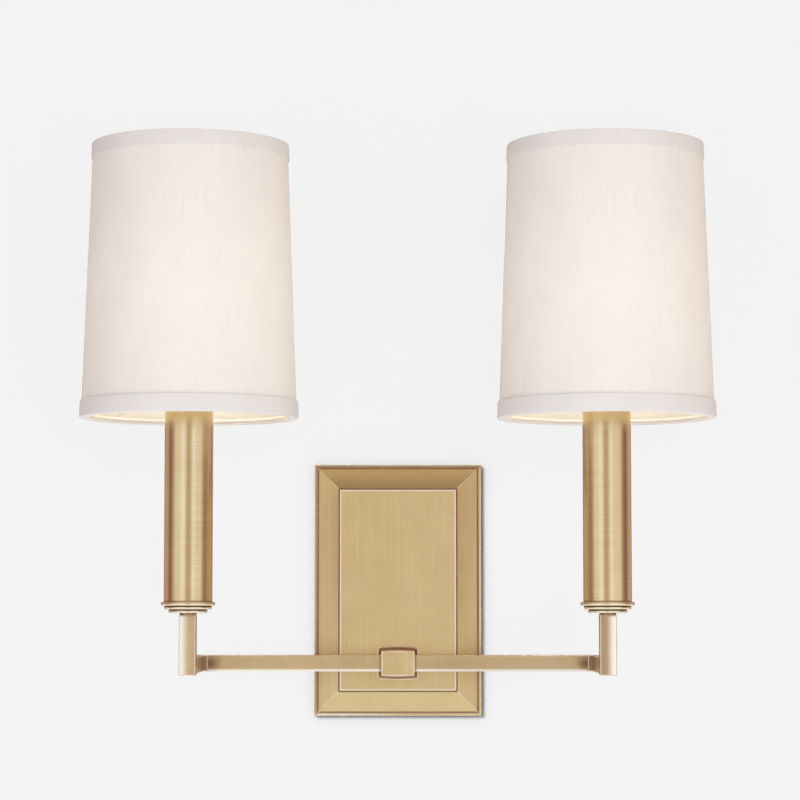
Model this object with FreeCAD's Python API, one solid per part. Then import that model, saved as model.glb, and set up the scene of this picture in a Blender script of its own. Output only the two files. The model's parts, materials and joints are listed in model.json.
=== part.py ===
import FreeCAD, Part

# A wall light with two arms. A hollow bevelled wall plate carries a small hub low on its face. A square
# tube runs from each side of the hub, turns forward at an elbow and meets a square upright, which ends
# in a stepped turned cup. The cup holds a candle-like sleeve with the lamp socket in its top, and a
# tapered fabric shade sits on the socket by a wire fitter under a screwed ring.
#
# Frame: millimetres, +X to the right as seen from the room, +Z up, the wall in the plane Y = 0 and the
# room towards -Y. The origin is the centre of the wall plate, on the wall.

import math
import os

from FreeCAD import Vector

X, Y, Z = Vector(1, 0, 0), Vector(0, 1, 0), Vector(0, 0, 1)

# ---- Fits ----------------------------------------------------------------------------------------
running = 0.08          # radial clearance of a ring that turns on the socket's neck
lamp_play = 0.075       # radial clearance of the lamp's base in its screw shell
seat = 0.05             # per side, where a tube is pushed into a socket or a ring over a stem
slack = 0.3             # between curved faces that only lie near each other
lap = 0.1               # between the layers of a shade
past = 1.0              # how far a cutter runs past the face that it cuts
near = 0.01             # how close a coordinate is to a value to be taken as that value

# ---- Wall plate ----------------------------------------------------------------------------------
plate_width = 114.3     # 4 1/2 in
plate_height = 171.5    # 6 3/4 in
plate_wall = 1.6
rim_depth = 9.0         # side wall of the pan, from the wall out to the lip
lip_width = 2.3
lip_step = 1.5
bevel_width = 14.2
bevel_rise = 8.5
ledge_width = 0.9       # the crease round the raised panel
panel_step = 2.0
plate_edge_round = 0.5

# ---- Mounting strap behind the plate -------------------------------------------------------------
strap_height = 20.0
strap_thickness = 2.0
strap_bend = 1.8        # outside radius where the tabs are folded
strap_gap = 0.5         # strap end to the pan's inner side
strap_tab_depth = 7.2
slot_spacing = 80.0     # centre to centre of the two slots, for box screws 71 to 89 mm apart
slot_width = 5.0
slot_length = 14.0
set_screw_diameter = 4.0
set_screw_length = 5.0
set_screw_depth = 4.6   # from the wall to the screw's axis
set_screw_inset = 0.2   # from the pan's side in to the screw's end
set_screw_hex = 2.0     # across flats of the key's recess
set_screw_recess = 2.0
ground_screw_diameter = 4.0
ground_screw_end = 0.5  # how far the shank runs into its head
ground_screw_head = 7.6
ground_screw_head_depth = 2.4
ground_screw_slot = 1.0
ground_screw_slot_depth = 1.1
ground_screw_rise = 5.2  # above the strap's middle

# ---- Square bar of the arms ----------------------------------------------------------------------
bar = 11.0              # about 7/16 in across flats
bar_wall = 1.1
bar_corner = 0.7
joint_chamfer = 0.45
arm_level = -49.5       # height of the arms' centre line
arm_standoff = 1.4      # from the hub's foot plate out to the back of the arms
lamp_spacing = 274.0
lamp_depth = 95.0       # wall to lamp axis
elbow_leg = 3.2         # from the joint line to the inner side of the forward run
post_below = 1.0        # how far the upright's foot stands below the elbow
post_foot_edge = 0.5

# ---- Hub -----------------------------------------------------------------------------------------
hub_foot_width = 28.7
hub_foot_height = 22.3
hub_foot_thickness = 1.6
hub_foot_corner = 2.6
hub_foot_edge = 0.8
hub_face_width = 22.6
hub_face_height = 16.8
hub_draft = 0.3         # how much wider the block is behind its face, on each side
hub_flare = 1.7         # how far the cove spreads at the foot, on each side
hub_cove = 2.6          # how far the cove runs towards the room
hub_bow = 0.55          # how far each edge of the face bows out
hub_corner = 0.9
hub_front = 3.2         # metal in front of the arms
hub_edge = 0.7          # soft edge round the face
hub_dome = 0.9
hub_crown = 0.45        # share of the face's width that is nearly flat
hub_crown_bow = 0.75    # how far the dome stands out at that share
arm_in_hub = 4.2        # how far each arm goes into the hub
nipple_diameter = 10.2  # 1/8 in pipe thread
nipple_bore = 7.0
nut_flats = 14.3
nut_thickness = 3.6
washer_diameter = 16.0
washer_thickness = 1.0
nipple_end = 3.0        # how far the nipple stands past its nut

# ---- Cup, sleeve and stem ------------------------------------------------------------------------
sleeve_diameter = 31.75  # 1 1/4 in
sleeve_wall = 0.8
sleeve_length = 145.0
candle_foot = -8.2      # height at which the sleeve stands on its cup
cup_overhang = 1.9      # flange past the sleeve, on each side
cup_second_step = 2.2   # from the flange in to the second ring
cup_third_step = 2.8    # from the second ring in to the third
cup_collar_wall = 0.4   # round the stem, where the cup meets the upright
cup_flange_thickness = 2.5
cup_ring_thickness = 2.4
cup_collar_thickness = 1.1
rim_soft = (0.5, 0.7)   # how far the edge of each ring is broken, across and up
cup_floor = 3.0
cup_wall = 2.2
cup_floor_bevel = 1.0
cup_spigot_height = 4.0
stem_bore = 5.8
stem_spigot_length = 6.0

# ---- Socket and lamp base ------------------------------------------------------------------------
socket_depth = 36.0     # from the sleeve's top down to the socket's foot
socket_wall = 1.0
socket_floor = 7.0
socket_neck = 9.0       # how far it stands out of the sleeve
socket_shoulder = 0.8   # how far the shoulder below the neck stands under the sleeve's top
bracket_thickness = 1.2
bracket_width = 12.0
bracket_rise = 10.0
liner_wall = 0.35
liner_length = 24.0
liner_drop = 2.0        # from the socket's rim down to the liner
lamp_base_diameter = 26.0
lamp_base_length = 25.0
lamp_base_wall = 0.4
lamp_base_taper = 3.0   # of the base's foot, in height and in radius
lamp_tip_height = 3.0
lamp_tip_bulge = (2.9, 0.9)  # out and up from the button's rim to the insulator's middle
lamp_button_diameter = 9.0
lamp_button_height = 1.4
lamp_button_crown = 0.6  # share of the button's radius, and of its height, at its rounding
contact_width = 6.0
contact_thickness = 0.6
contact_rise = 4.0
contact_length = (6.0, 4.0)  # of its foot, each way from the axis
contact_fold = (3.0, 3.5)  # of its sprung leaf, each way from the axis
bulb_diameter = 60.0
bulb_length = 82.0      # glass, above the lamp base
bulb_neck_diameter = 25.0
bulb_neck_length = 12.0
bulb_in_base = 6.0
bulb_flank = 38.0       # degrees below the globe's middle at which the flank begins
bulb_wall = 0.8

# ---- Shade ---------------------------------------------------------------------------------------
shade_foot = 111.8
shade_height = 181.0
shade_bottom_diameter = 141.5
shade_top_diameter = 128.5
shade_wall = 1.0
bottom_trim_height = 11.4
top_trim_height = 9.6
trim_thickness = 1.0
top_trim_thickness = 0.6
trim_lap = 0.2          # how far the folded tape reaches into its outer band
trim_inner_height = 6.0
wire_diameter = 3.0
wire_flats = 6          # the hoops are drawn with flats, because the tapes hide them
spoke_diameter = 2.6
spoke_count = 3
spoke_start = 1.0       # past the sleeve, under the fitter's washer
spoke_braze = 0.1       # how far a spoke is let into the washer
fitter_overhang = 5.1   # of the fitter's washer past the sleeve
fitter_thickness = 1.2
fitter_shoulder = 27.0  # radius at which the spokes begin to slope down
ring_width = 5.0        # of the retaining ring round the socket's neck
ring_height = 6.0
ring_grips = 6
ring_grip_radius = 2.2
ring_grip_depth = 0.8

# ---- Places that follow from the sizes above -----------------------------------------------------
plate_depth = rim_depth + lip_step + bevel_rise + panel_step
hub_foot_front = plate_depth + hub_foot_thickness
arm_depth = hub_foot_front + arm_standoff + bar / 2
hub_depth = arm_depth + bar / 2 + hub_front
arm_end = hub_face_width / 2 - arm_in_hub
bar_bore = bar - 2 * bar_wall
lamp_x = lamp_spacing / 2
joint_x = lamp_x - bar / 2 - elbow_leg
cup_foot = candle_foot - cup_flange_thickness - 2 * cup_ring_thickness - cup_collar_thickness
cup_floor_top = cup_foot + cup_collar_thickness + cup_floor
sleeve_top = candle_foot + sleeve_length
sleeve_bore = sleeve_diameter / 2 - sleeve_wall
thread_hole = nipple_diameter / 2 + seat
liner_bore = lamp_base_diameter / 2 + lamp_play
liner_radius = liner_bore + liner_wall
socket_bore = liner_radius + seat
neck_radius = socket_bore + socket_wall
socket_radius = sleeve_bore - slack
socket_foot = sleeve_top - socket_depth
socket_top = sleeve_top + socket_neck
socket_well = socket_foot + socket_floor
bracket_floor = socket_foot - bracket_rise
lamp_foot = socket_well + contact_rise + contact_thickness + slack
lamp_base_foot = lamp_foot + lamp_button_height + lamp_tip_height
lamp_base_top = lamp_base_foot + lamp_base_length
ring_bore = neck_radius + running
shade_top = shade_foot + shade_height
sides = {"left": -1, "right": 1}


# ---- Small helpers -------------------------------------------------------------------------------
def block(x, y, z):
    """A box between two values on each axis, in either order."""
    low = Vector(min(x), min(y), min(z))
    return Part.makeBox(max(x) - low.x, max(y) - low.y, max(z) - low.z, low)


def rod(radius, foot, length, axis=Z):
    return Part.makeCylinder(radius, length, foot, axis)


def ring(outer, inner, foot, length, axis=Z):
    return rod(outer, foot, length, axis).cut(rod(inner, foot, length, axis))


def outline(steps):
    """A closed wire in the X-Z plane. A step is a corner (x, z), or a pair: an arc's middle and end."""
    start = Vector(steps[0][0], 0, steps[0][1])
    here, edges = start, []
    for step in steps[1:] + [steps[0]]:
        if isinstance(step[0], tuple):
            middle, end = (Vector(x, 0, z) for x, z in step)
            edges.append(Part.Arc(here, middle, end).toShape())
        else:
            end = Vector(step[0], 0, step[1])
            edges.append(Part.LineSegment(here, end).toShape())
        here = end
    return Part.Wire(edges)


def turned(steps):
    """A solid of revolution about Z from the outline of half its section."""
    return Part.Face(outline(steps)).revolve(Vector(0, 0, 0), Z, 360)


def soft_rim(radius, foot, height):
    """The softened edge of a turned ring, from its lower corner to its upper one."""
    across, up = rim_soft
    return [(radius - across, foot), (radius, foot + up), (radius, foot + height - up),
            (radius - across, foot + height)]


def wire_hoop(radius, level):
    """A closed hoop of shade wire."""
    half = wire_diameter / 2
    turns = [2 * math.pi * flat / wire_flats for flat in range(wire_flats)]
    return turned([(radius + half * math.cos(turn), level + half * math.sin(turn)) for turn in turns])


def rectangle(width, height, depth):
    """A wire with sharp corners in a plane square to Y."""
    half_w, half_h = width / 2, height / 2
    corners = [(half_w, half_h), (-half_w, half_h), (-half_w, -half_h), (half_w, -half_h)]
    return Part.makePolygon([Vector(x, -depth, z) for x, z in corners + corners[:1]])


def rounded_rectangle(width, height, corner, bow, place):
    """A wire in a plane square to Y. Each side bows out by the given amount at its middle."""
    half_w, half_h = width / 2, height / 2
    diagonal = corner * (1 - math.sqrt(0.5))
    corners = []
    for sign_x, sign_z in ((1, 1), (-1, 1), (-1, -1), (1, -1)):
        on_side = Vector(sign_x * half_w, 0, sign_z * (half_h - corner))
        on_top = Vector(sign_x * (half_w - corner), 0, sign_z * half_h)
        middle = Vector(sign_x * (half_w - diagonal), 0, sign_z * (half_h - diagonal))
        corners.append((on_side, middle, on_top) if sign_x * sign_z > 0 else (on_top, middle, on_side))
    bows = (Vector(0, 0, half_h + bow), Vector(-half_w - bow, 0, 0))
    bows += (Vector(0, 0, -half_h - bow), Vector(half_w + bow, 0, 0))
    edges = []
    for index, (start, middle, end) in enumerate(corners):
        following = corners[(index + 1) % 4][0]
        edges.append(Part.Arc(start, middle, end).toShape())
        if bow:
            edges.append(Part.Arc(end, bows[index], following).toShape())
        else:
            edges.append(Part.LineSegment(end, following).toShape())
    wire = Part.Wire(edges)
    wire.translate(place)
    return wire


def bar_along_y(size, corner, length):
    """A square bar from Y = 0 towards the room, with round corners, or sharp ones for its bore."""
    if corner:
        section = rounded_rectangle(size, size, corner, 0, Vector(0, 0, 0))
    else:
        section = rectangle(size, size, 0)
    return Part.Face(section).extrude(Vector(0, -length, 0))


def bar_along_x(size, corner, length):
    solid = bar_along_y(size, corner, length)
    solid.rotate(Vector(0, 0, 0), Z, 90)
    return solid


def bar_along_z(size, corner, length):
    solid = bar_along_y(size, corner, length)
    solid.rotate(Vector(0, 0, 0), X, -90)
    return solid


def hexagon(flats, height, foot, axis=Z):
    """A nut's hexagonal prism."""
    radius = flats / 2 / math.cos(math.pi / 6)
    turns = [math.radians(60 * corner) for corner in range(7)]
    points = [Vector(radius * math.cos(turn), radius * math.sin(turn), 0) for turn in turns]
    prism = Part.Face(Part.makePolygon(points)).extrude(Vector(0, 0, height))
    prism.Placement = FreeCAD.Placement(foot, FreeCAD.Rotation(Z, axis))
    return prism


def moved(solid, x=0.0, y=0.0, z=0.0):
    copy = solid.copy()
    copy.translate(Vector(x, y, z))
    return copy


# ---- Wall plate and its strap --------------------------------------------------------------------
def plate_form(inset, foot):
    """The plate's stepped outside, or its hollow when it is inset and drawn back by the wall."""
    def half_size(margin):
        return plate_width / 2 - margin - inset, plate_height / 2 - margin - inset

    def course(margin, low, high):
        half_w, half_h = half_size(margin)
        return block((-half_w, half_w), (-low, -high), (-half_h, half_h))

    def sheet(margin, depth):
        half_w, half_h = half_size(margin)
        return rectangle(2 * half_w, 2 * half_h, depth)

    lip = rim_depth - inset
    bevel_start = lip + lip_step
    bevel_end = bevel_start + bevel_rise
    panel = lip_width + bevel_width + ledge_width
    lower, upper = sheet(lip_width, bevel_start), sheet(lip_width + bevel_width, bevel_end)
    form = course(0, foot, lip).fuse(course(lip_width, lip / 2, bevel_start))
    form = form.fuse(Part.makeLoft([lower, upper], True, True))
    return form.fuse(course(panel, lip / 2, bevel_end + panel_step)).removeSplitter()


def round_front_edges(solid):
    """Rounds the lip's outer edge and the raised panel's edge, which wear bright on the real plate."""
    chosen = []
    for edge in solid.Edges:
        box = edge.BoundBox
        flat = box.YLength < near
        outermost = max(box.XMax, -box.XMin) > plate_width / 2 - near
        at_lip = abs(box.YMin + rim_depth) < near and outermost
        at_panel = abs(box.YMin + plate_depth) < near
        if flat and (at_lip or at_panel):
            chosen.append(edge)
    return solid.makeFillet(plate_edge_round, chosen)


def set_screw_hole():
    """The line of both set screws, right across the plate and the strap."""
    start = Vector(-plate_width, -set_screw_depth, 0)
    return rod(set_screw_diameter / 2 + seat, start, 2 * plate_width, X)


def make_back_plate():
    plate = round_front_edges(plate_form(0, 0)).cut(plate_form(plate_wall, -past))
    nipple_hole = rod(thread_hole, Vector(0, 0, arm_level), 2 * plate_depth, -Y)
    return plate.cut(nipple_hole).cut(set_screw_hole())


def strap_slot(middle):
    """A cutter for one slot with round ends."""
    straight = (slot_length - slot_width) / 2
    depth = (past, -strap_thickness - past)
    cut = block((middle - straight, middle + straight), depth, (-slot_width / 2, slot_width / 2))
    for end in (middle - straight, middle + straight):
        cut = cut.fuse(rod(slot_width / 2, Vector(end, past, 0), strap_thickness + 2 * past, -Y))
    return cut


def make_mounting_strap():
    half = plate_width / 2 - plate_wall - strap_gap
    high = (-strap_height / 2, strap_height / 2)
    strap = block((-half, half), (0, -strap_thickness), high)
    for side in sides.values():
        tab = (side * half, side * (half - strap_thickness))
        strap = strap.fuse(block(tab, (0, -strap_tab_depth), high))
    strap = strap.removeSplitter()
    bends = []
    for edge in strap.Edges:
        box = edge.BoundBox
        at_corner = abs(box.YMax) < near and abs(abs(box.XMax) - half) < near
        if at_corner and box.ZLength > strap_height - near:
            bends.append(edge)
    strap = strap.makeFillet(strap_bend, bends)
    for side in sides.values():
        strap = strap.cut(strap_slot(side * slot_spacing / 2))
    start = Vector(0, past, ground_screw_rise)
    ground_hole = rod(ground_screw_diameter / 2 + seat, start, strap_thickness + 2 * past, -Y)
    return strap.cut(set_screw_hole()).cut(ground_hole)


def make_ground_screw():
    foot = Vector(0, 0, ground_screw_rise)
    shank = rod(ground_screw_diameter / 2, foot, strap_thickness + ground_screw_end, -Y)
    head = rod(ground_screw_head / 2, foot - Y * strap_thickness, ground_screw_head_depth, -Y)
    front = -strap_thickness - ground_screw_head_depth
    half = ground_screw_head / 2
    slot = block((-ground_screw_slot / 2, ground_screw_slot / 2),
                 (front + ground_screw_slot_depth, front - past),
                 (ground_screw_rise - half, ground_screw_rise + half))
    return shank.fuse(head).cut(slot)


def make_set_screws():
    """Headless screws, one through each side of the pan into the strap's tab, flush outside."""
    screws = []
    for side in sides.values():
        face = Vector(side * (plate_width / 2 - set_screw_inset), -set_screw_depth, 0)
        screw = rod(set_screw_diameter / 2, face, set_screw_length, X * -side)
        screws.append(screw.cut(hexagon(set_screw_hex, set_screw_recess, face, X * -side)))
    return Part.makeCompound(screws)


# ---- Hub -----------------------------------------------------------------------------------------
def hub_outline(spread, corner, bow, depth):
    """The block's bowed outline, wider than its face by the spread on each side."""
    return rounded_rectangle(hub_face_width + 2 * spread, hub_face_height + 2 * spread, corner, bow,
                             Vector(0, -depth, arm_level))


def make_hub_foot():
    """A thin foot plate with a bevelled edge, between the wall plate's panel and the hub."""
    def rim(inset, depth):
        return rounded_rectangle(hub_foot_width - 2 * inset, hub_foot_height - 2 * inset,
                                 hub_foot_corner - inset, hub_bow, Vector(0, -depth, arm_level))

    bevel_start = hub_foot_front - hub_foot_edge
    foot = Part.makeLoft([rim(0, plate_depth), rim(0, bevel_start)], True, True)
    foot = foot.fuse(Part.makeLoft([rim(0, bevel_start), rim(hub_foot_edge, hub_foot_front)], True, True))
    start = Vector(0, past - plate_depth, arm_level)
    return foot.removeSplitter().cut(rod(thread_hole, start, hub_foot_thickness + 2 * past, -Y))


def make_hub():
    """The block that takes both arms: a cove at its foot, nearly straight sides and a pillowed face."""
    face = hub_depth - hub_dome
    cove = []
    for turn in (0, 45, 90):
        angle = math.radians(turn)
        spread = hub_draft + hub_flare * (1 - math.sin(angle))
        depth = hub_foot_front + hub_cove * (1 - math.cos(angle))
        cove.append(hub_outline(spread, hub_corner, hub_bow, depth))
    shoulder = hub_outline(0, hub_corner, hub_bow, face - hub_edge)
    soft = hub_outline(-hub_edge, hub_corner / 2, hub_bow, face)
    crown = rounded_rectangle(hub_face_width * hub_crown, hub_face_height * hub_crown, hub_corner / 2,
                              hub_bow / 2, Vector(0, -face - hub_crown_bow, arm_level))
    hub = Part.makeLoft(cove, True, True)
    for lower, upper in ((cove[-1], shoulder), (shoulder, soft), (soft, crown)):
        hub = hub.fuse(Part.makeLoft([lower, upper], True, True))
    hub = hub.removeSplitter()
    chamber = rod(thread_hole, Vector(0, past - hub_foot_front, arm_level), past + arm_standoff + bar, -Y)
    return hub.cut(arm_pockets()).cut(chamber).cut(wire_way())


def arm_pockets():
    """The two square sockets for the arms, each ending at the land between them."""
    half = bar / 2 + seat
    stop = arm_end - seat
    pocket = block((-hub_foot_width, hub_foot_width), (-arm_depth - half, -arm_depth + half),
                   (arm_level - half, arm_level + half))
    return pocket.cut(block((-stop, stop), (0, -2 * hub_depth), (arm_level - bar, arm_level + bar)))


def wire_way():
    """The square way through the hub from one arm's bore to the other's."""
    half = bar_bore / 2
    return block((-arm_end - past, arm_end + past), (-arm_depth - half, -arm_depth + half),
                 (arm_level - half, arm_level + half))


def make_hub_nipple():
    front = arm_depth - bar / 2
    back = plate_depth - plate_wall - washer_thickness - nut_thickness - nipple_end
    return ring(nipple_diameter / 2, nipple_bore / 2, Vector(0, -back, arm_level), front - back, -Y)


def make_hub_washer():
    foot = Vector(0, -(plate_depth - plate_wall - washer_thickness), arm_level)
    return ring(washer_diameter / 2, thread_hole, foot, washer_thickness, -Y)


def make_hub_nut():
    foot = Vector(0, -(plate_depth - plate_wall - washer_thickness - nut_thickness), arm_level)
    return hexagon(nut_flats, nut_thickness, foot, -Y).cut(rod(thread_hole, foot, nut_thickness, -Y))


# ---- Arms, elbows and uprights -------------------------------------------------------------------
def chamfered_end(solid, end_x):
    """Breaks the outer edges of the end face that lies at one value of X."""
    def on_end(edge):
        box = edge.BoundBox
        return box.XLength < near and abs(box.XMin - end_x) < near

    def outer(edge):
        middle = edge.valueAt((edge.FirstParameter + edge.LastParameter) / 2)
        off = max(abs(middle.y + arm_depth), abs(middle.z - arm_level))
        return off > bar / 2 - bar_corner

    return solid.makeChamfer(joint_chamfer, [e for e in solid.Edges if on_end(e) and outer(e)])


def make_arm(side):
    length = joint_x - arm_end
    arm = bar_along_x(bar, bar_corner, length).cut(bar_along_x(bar_bore, 0, length))
    arm.translate(Vector(arm_end if side > 0 else -joint_x, -arm_depth, arm_level))
    return chamfered_end(arm, side * joint_x)


def bent_run(size, corner, side):
    """A square bar from the joint line to the lamp's plane and on to the upright, mitred between."""
    half = size / 2
    outer_x, inner_x, start_x = side * (lamp_x + half), side * (lamp_x - half), side * joint_x
    back_y, front_y, end_y = -arm_depth + half, -arm_depth - half, -lamp_depth + bar / 2

    def plan(points):
        corners = [Vector(x, y, arm_level - bar) for x, y in points]
        return Part.Face(Part.makePolygon(corners + corners[:1])).extrude(Vector(0, 0, 2 * bar))

    across = bar_along_x(size, corner, lamp_x + half - joint_x)
    across.translate(Vector(min(start_x, outer_x), -arm_depth, arm_level))
    across = across.common(plan([(start_x, back_y), (outer_x, back_y), (inner_x, front_y),
                                 (start_x, front_y)]))
    forward = bar_along_y(size, corner, back_y - end_y)
    forward.translate(Vector(side * lamp_x, back_y, arm_level))
    forward = forward.common(plan([(outer_x, back_y), (outer_x, end_y), (inner_x, end_y),
                                   (inner_x, front_y)]))
    return across.fuse(forward).removeSplitter()


def make_elbow(side):
    elbow = bent_run(bar, bar_corner, side).cut(bent_run(bar_bore, 0, side))
    return chamfered_end(elbow, side * joint_x)


def make_post(side):
    """The upright, closed at its foot, with a window behind for the elbow's bore."""
    foot = arm_level - bar / 2 - post_below
    height = cup_foot - foot
    level = arm_level - foot
    post = bar_along_z(bar, bar_corner, height)
    rim = [e for e in post.Edges if abs(e.BoundBox.ZMax) < near]
    post = post.makeChamfer(post_foot_edge, rim)
    post = post.cut(moved(bar_along_z(bar_bore, 0, height), z=bar_wall))
    half = bar_bore / 2
    post = post.cut(block((-half, half), (0, bar), (level - half, level + half)))
    return moved(post, side * lamp_x, -lamp_depth, foot)


# ---- Cup, sleeve and stem ------------------------------------------------------------------------
def make_cup():
    """Three turned rings of falling size, with a spigot inside that centres the sleeve."""
    collar = thread_hole + cup_collar_wall
    flange = sleeve_diameter / 2 + cup_overhang
    second = flange - cup_second_step
    third = second - cup_third_step
    spigot = sleeve_bore - seat
    hollow = spigot - cup_wall
    third_foot = cup_foot + cup_collar_thickness
    second_foot = third_foot + cup_ring_thickness
    flange_foot = second_foot + cup_ring_thickness
    return turned([
        (thread_hole, cup_foot),
        (collar, cup_foot),
        (collar, third_foot),
        *soft_rim(third, third_foot, cup_ring_thickness),
        *soft_rim(second, second_foot, cup_ring_thickness),
        *soft_rim(flange, flange_foot, cup_flange_thickness),
        (spigot, candle_foot),
        (spigot, candle_foot + cup_spigot_height),
        (hollow, candle_foot + cup_spigot_height),
        (hollow, cup_floor_top + cup_floor_bevel),
        (hollow - cup_floor_bevel, cup_floor_top),
        (thread_hole, cup_floor_top),
    ])


def make_sleeve():
    return ring(sleeve_diameter / 2, sleeve_bore, Vector(0, 0, candle_foot), sleeve_length)


def make_stem():
    """The hollow threaded rod from the upright through the cup to the socket's bracket."""
    spigot = bar_bore / 2 - seat
    return turned([
        (stem_bore / 2, cup_foot - stem_spigot_length),
        (spigot, cup_foot - stem_spigot_length),
        (spigot, cup_foot),
        (nipple_diameter / 2, cup_foot),
        (nipple_diameter / 2, socket_foot - seat),
        (stem_bore / 2, socket_foot - seat),
    ])


def make_stem_washer():
    return ring(washer_diameter / 2, thread_hole, Vector(0, 0, cup_floor_top), washer_thickness)


def make_stem_nut(level):
    foot = Vector(0, 0, level)
    return hexagon(nut_flats, nut_thickness, foot).cut(rod(thread_hole, foot, nut_thickness))


def make_stem_nuts():
    """One nut on the cup's floor and one on each side of the bracket's floor."""
    levels = (cup_floor_top + washer_thickness, bracket_floor - nut_thickness,
              bracket_floor + bracket_thickness)
    return Part.makeCompound([make_stem_nut(level) for level in levels])


# ---- Socket and lamp -----------------------------------------------------------------------------
def make_socket_bracket():
    """A folded steel leg: its floor sits on the stem between two nuts and its ears grip the socket."""
    half = math.sqrt(socket_radius ** 2 - (bracket_width / 2) ** 2)
    wide = (-bracket_width / 2, bracket_width / 2)
    bracket = block((-half, half), wide, (bracket_floor, bracket_floor + bracket_thickness))
    for side in sides.values():
        ear = (side * half, side * (half - bracket_thickness))
        bracket = bracket.fuse(block(ear, wide, (bracket_floor, socket_foot)))
    foot = Vector(0, 0, bracket_floor)
    return bracket.removeSplitter().cut(rod(thread_hole, foot, bracket_thickness))


def make_socket_body():
    return turned([
        (0, socket_foot),
        (socket_radius, socket_foot),
        (socket_radius, sleeve_top - socket_shoulder),
        (neck_radius, sleeve_top - socket_shoulder),
        (neck_radius, socket_top),
        (socket_bore, socket_top),
        (socket_bore, socket_well),
        (0, socket_well),
    ])


def make_socket_liner():
    foot = Vector(0, 0, socket_top - liner_drop - liner_length)
    return ring(liner_radius, liner_bore, foot, liner_length)


def make_socket_contact():
    """The sprung brass tongue in the bottom of the socket, folded back over itself."""
    top = socket_well + contact_rise + contact_thickness
    foot_left, foot_right = contact_length
    leaf_left, leaf_right = contact_fold
    tongue = Part.Face(outline([
        (-foot_left, socket_well),
        (foot_right, socket_well),
        (foot_right, socket_well + contact_thickness),
        (-foot_left + contact_thickness, socket_well + contact_thickness),
        (-leaf_left, top - contact_thickness),
        (leaf_right, top - contact_thickness),
        (leaf_right, top),
        (-leaf_left - contact_thickness, top),
    ])).extrude(Vector(0, contact_width, 0))
    return moved(tongue, y=-contact_width / 2)


def make_bulb_contact():
    radius = lamp_button_diameter / 2
    return turned([
        (0, lamp_foot),
        (radius * lamp_button_crown, lamp_foot),
        (radius, lamp_foot + lamp_button_height * lamp_button_crown),
        (radius, lamp_foot + lamp_button_height),
        (0, lamp_foot + lamp_button_height),
    ])


def make_bulb_insulator():
    foot = lamp_foot + lamp_button_height
    lower, upper = lamp_button_diameter / 2, lamp_base_diameter / 2 - lamp_base_taper
    out, up = lamp_tip_bulge
    return turned([
        (0, foot),
        (lower, foot),
        ((lower + out, foot + up), (upper, lamp_base_foot)),
        (0, lamp_base_foot),
    ])


def make_bulb_base():
    outer = lamp_base_diameter / 2
    inner = outer - lamp_base_wall
    return turned([
        (0, lamp_base_foot),
        (outer - lamp_base_taper, lamp_base_foot),
        (outer, lamp_base_foot + lamp_base_taper),
        (outer, lamp_base_top),
        (inner, lamp_base_top),
        (inner, lamp_base_foot + lamp_base_taper),
        (inner - lamp_base_taper + lamp_base_wall, lamp_base_foot + lamp_base_wall),
        (0, lamp_base_foot + lamp_base_wall),
    ])


def bulb_form(inset, drop):
    """The pear-shaped lamp from its neck to its crown, or the inside of its wall."""
    radius = bulb_diameter / 2 - inset
    neck = bulb_neck_diameter / 2 - inset
    centre = lamp_base_top + bulb_length - bulb_diameter / 2
    neck_foot = lamp_base_top - bulb_in_base - drop
    neck_top = lamp_base_top + bulb_neck_length
    flank = math.radians(bulb_flank)
    return turned([
        (0, neck_foot),
        (neck, neck_foot),
        (neck, neck_top),
        (radius * math.cos(flank), centre - radius * math.sin(flank)),
        ((radius, centre), (0, centre + radius)),
    ])


def make_bulb_glass():
    return bulb_form(0, 0).cut(bulb_form(bulb_wall, past))


# ---- Shade ---------------------------------------------------------------------------------------
def shade_radius(height):
    """The outside of the shade's panel at a height."""
    share = (height - shade_foot) / shade_height
    return (shade_bottom_diameter + (shade_top_diameter - shade_bottom_diameter) * share) / 2


def band(low, high, outward, thickness):
    """A conical band that follows the panel, its outside standing off the panel's by outward."""
    outer_low, outer_high = shade_radius(low) + outward, shade_radius(high) + outward
    return turned([
        (outer_low - thickness, low),
        (outer_low, low),
        (outer_high, high),
        (outer_high - thickness, high),
    ])


def make_shade_panel():
    return band(shade_foot + trim_thickness + lap, shade_top - trim_thickness - lap, 0, shade_wall)


def wire_centre(height):
    return shade_radius(height) - shade_wall - lap - wire_diameter / 2


def bottom_wire_level():
    return shade_foot + trim_thickness + lap + wire_diameter / 2


def make_top_ring():
    return wire_hoop(wire_centre(shade_top), shade_top - trim_thickness - lap - wire_diameter / 2)


def make_bottom_trim():
    """The tape folded under the panel and the bottom wire; the spokes keep it low inside."""
    inner_edge = wire_centre(shade_foot) - wire_diameter / 2 - lap - trim_thickness
    outer_edge = shade_radius(shade_foot) + lap + trim_lap
    high = shade_foot + bottom_trim_height
    outside = band(shade_foot, high, lap + trim_thickness, trim_thickness)
    under = ring(outer_edge, inner_edge, Vector(0, 0, shade_foot), trim_thickness)
    return outside.fuse(under).removeSplitter()


def make_top_trim():
    """The tape folded over the panel and the top wire."""
    inner_edge = wire_centre(shade_top) - wire_diameter / 2 - lap - trim_thickness
    outer_edge = shade_radius(shade_top) + lap + trim_lap
    low = shade_top - top_trim_height
    outside = band(low, shade_top, lap + top_trim_thickness, top_trim_thickness)
    over = turned([
        (inner_edge, shade_top - trim_inner_height),
        (inner_edge + trim_thickness, shade_top - trim_inner_height),
        (inner_edge + trim_thickness, shade_top - trim_thickness),
        (outer_edge, shade_top - trim_thickness),
        (outer_edge, shade_top),
        (inner_edge, shade_top),
    ])
    return outside.fuse(over).removeSplitter()


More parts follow.
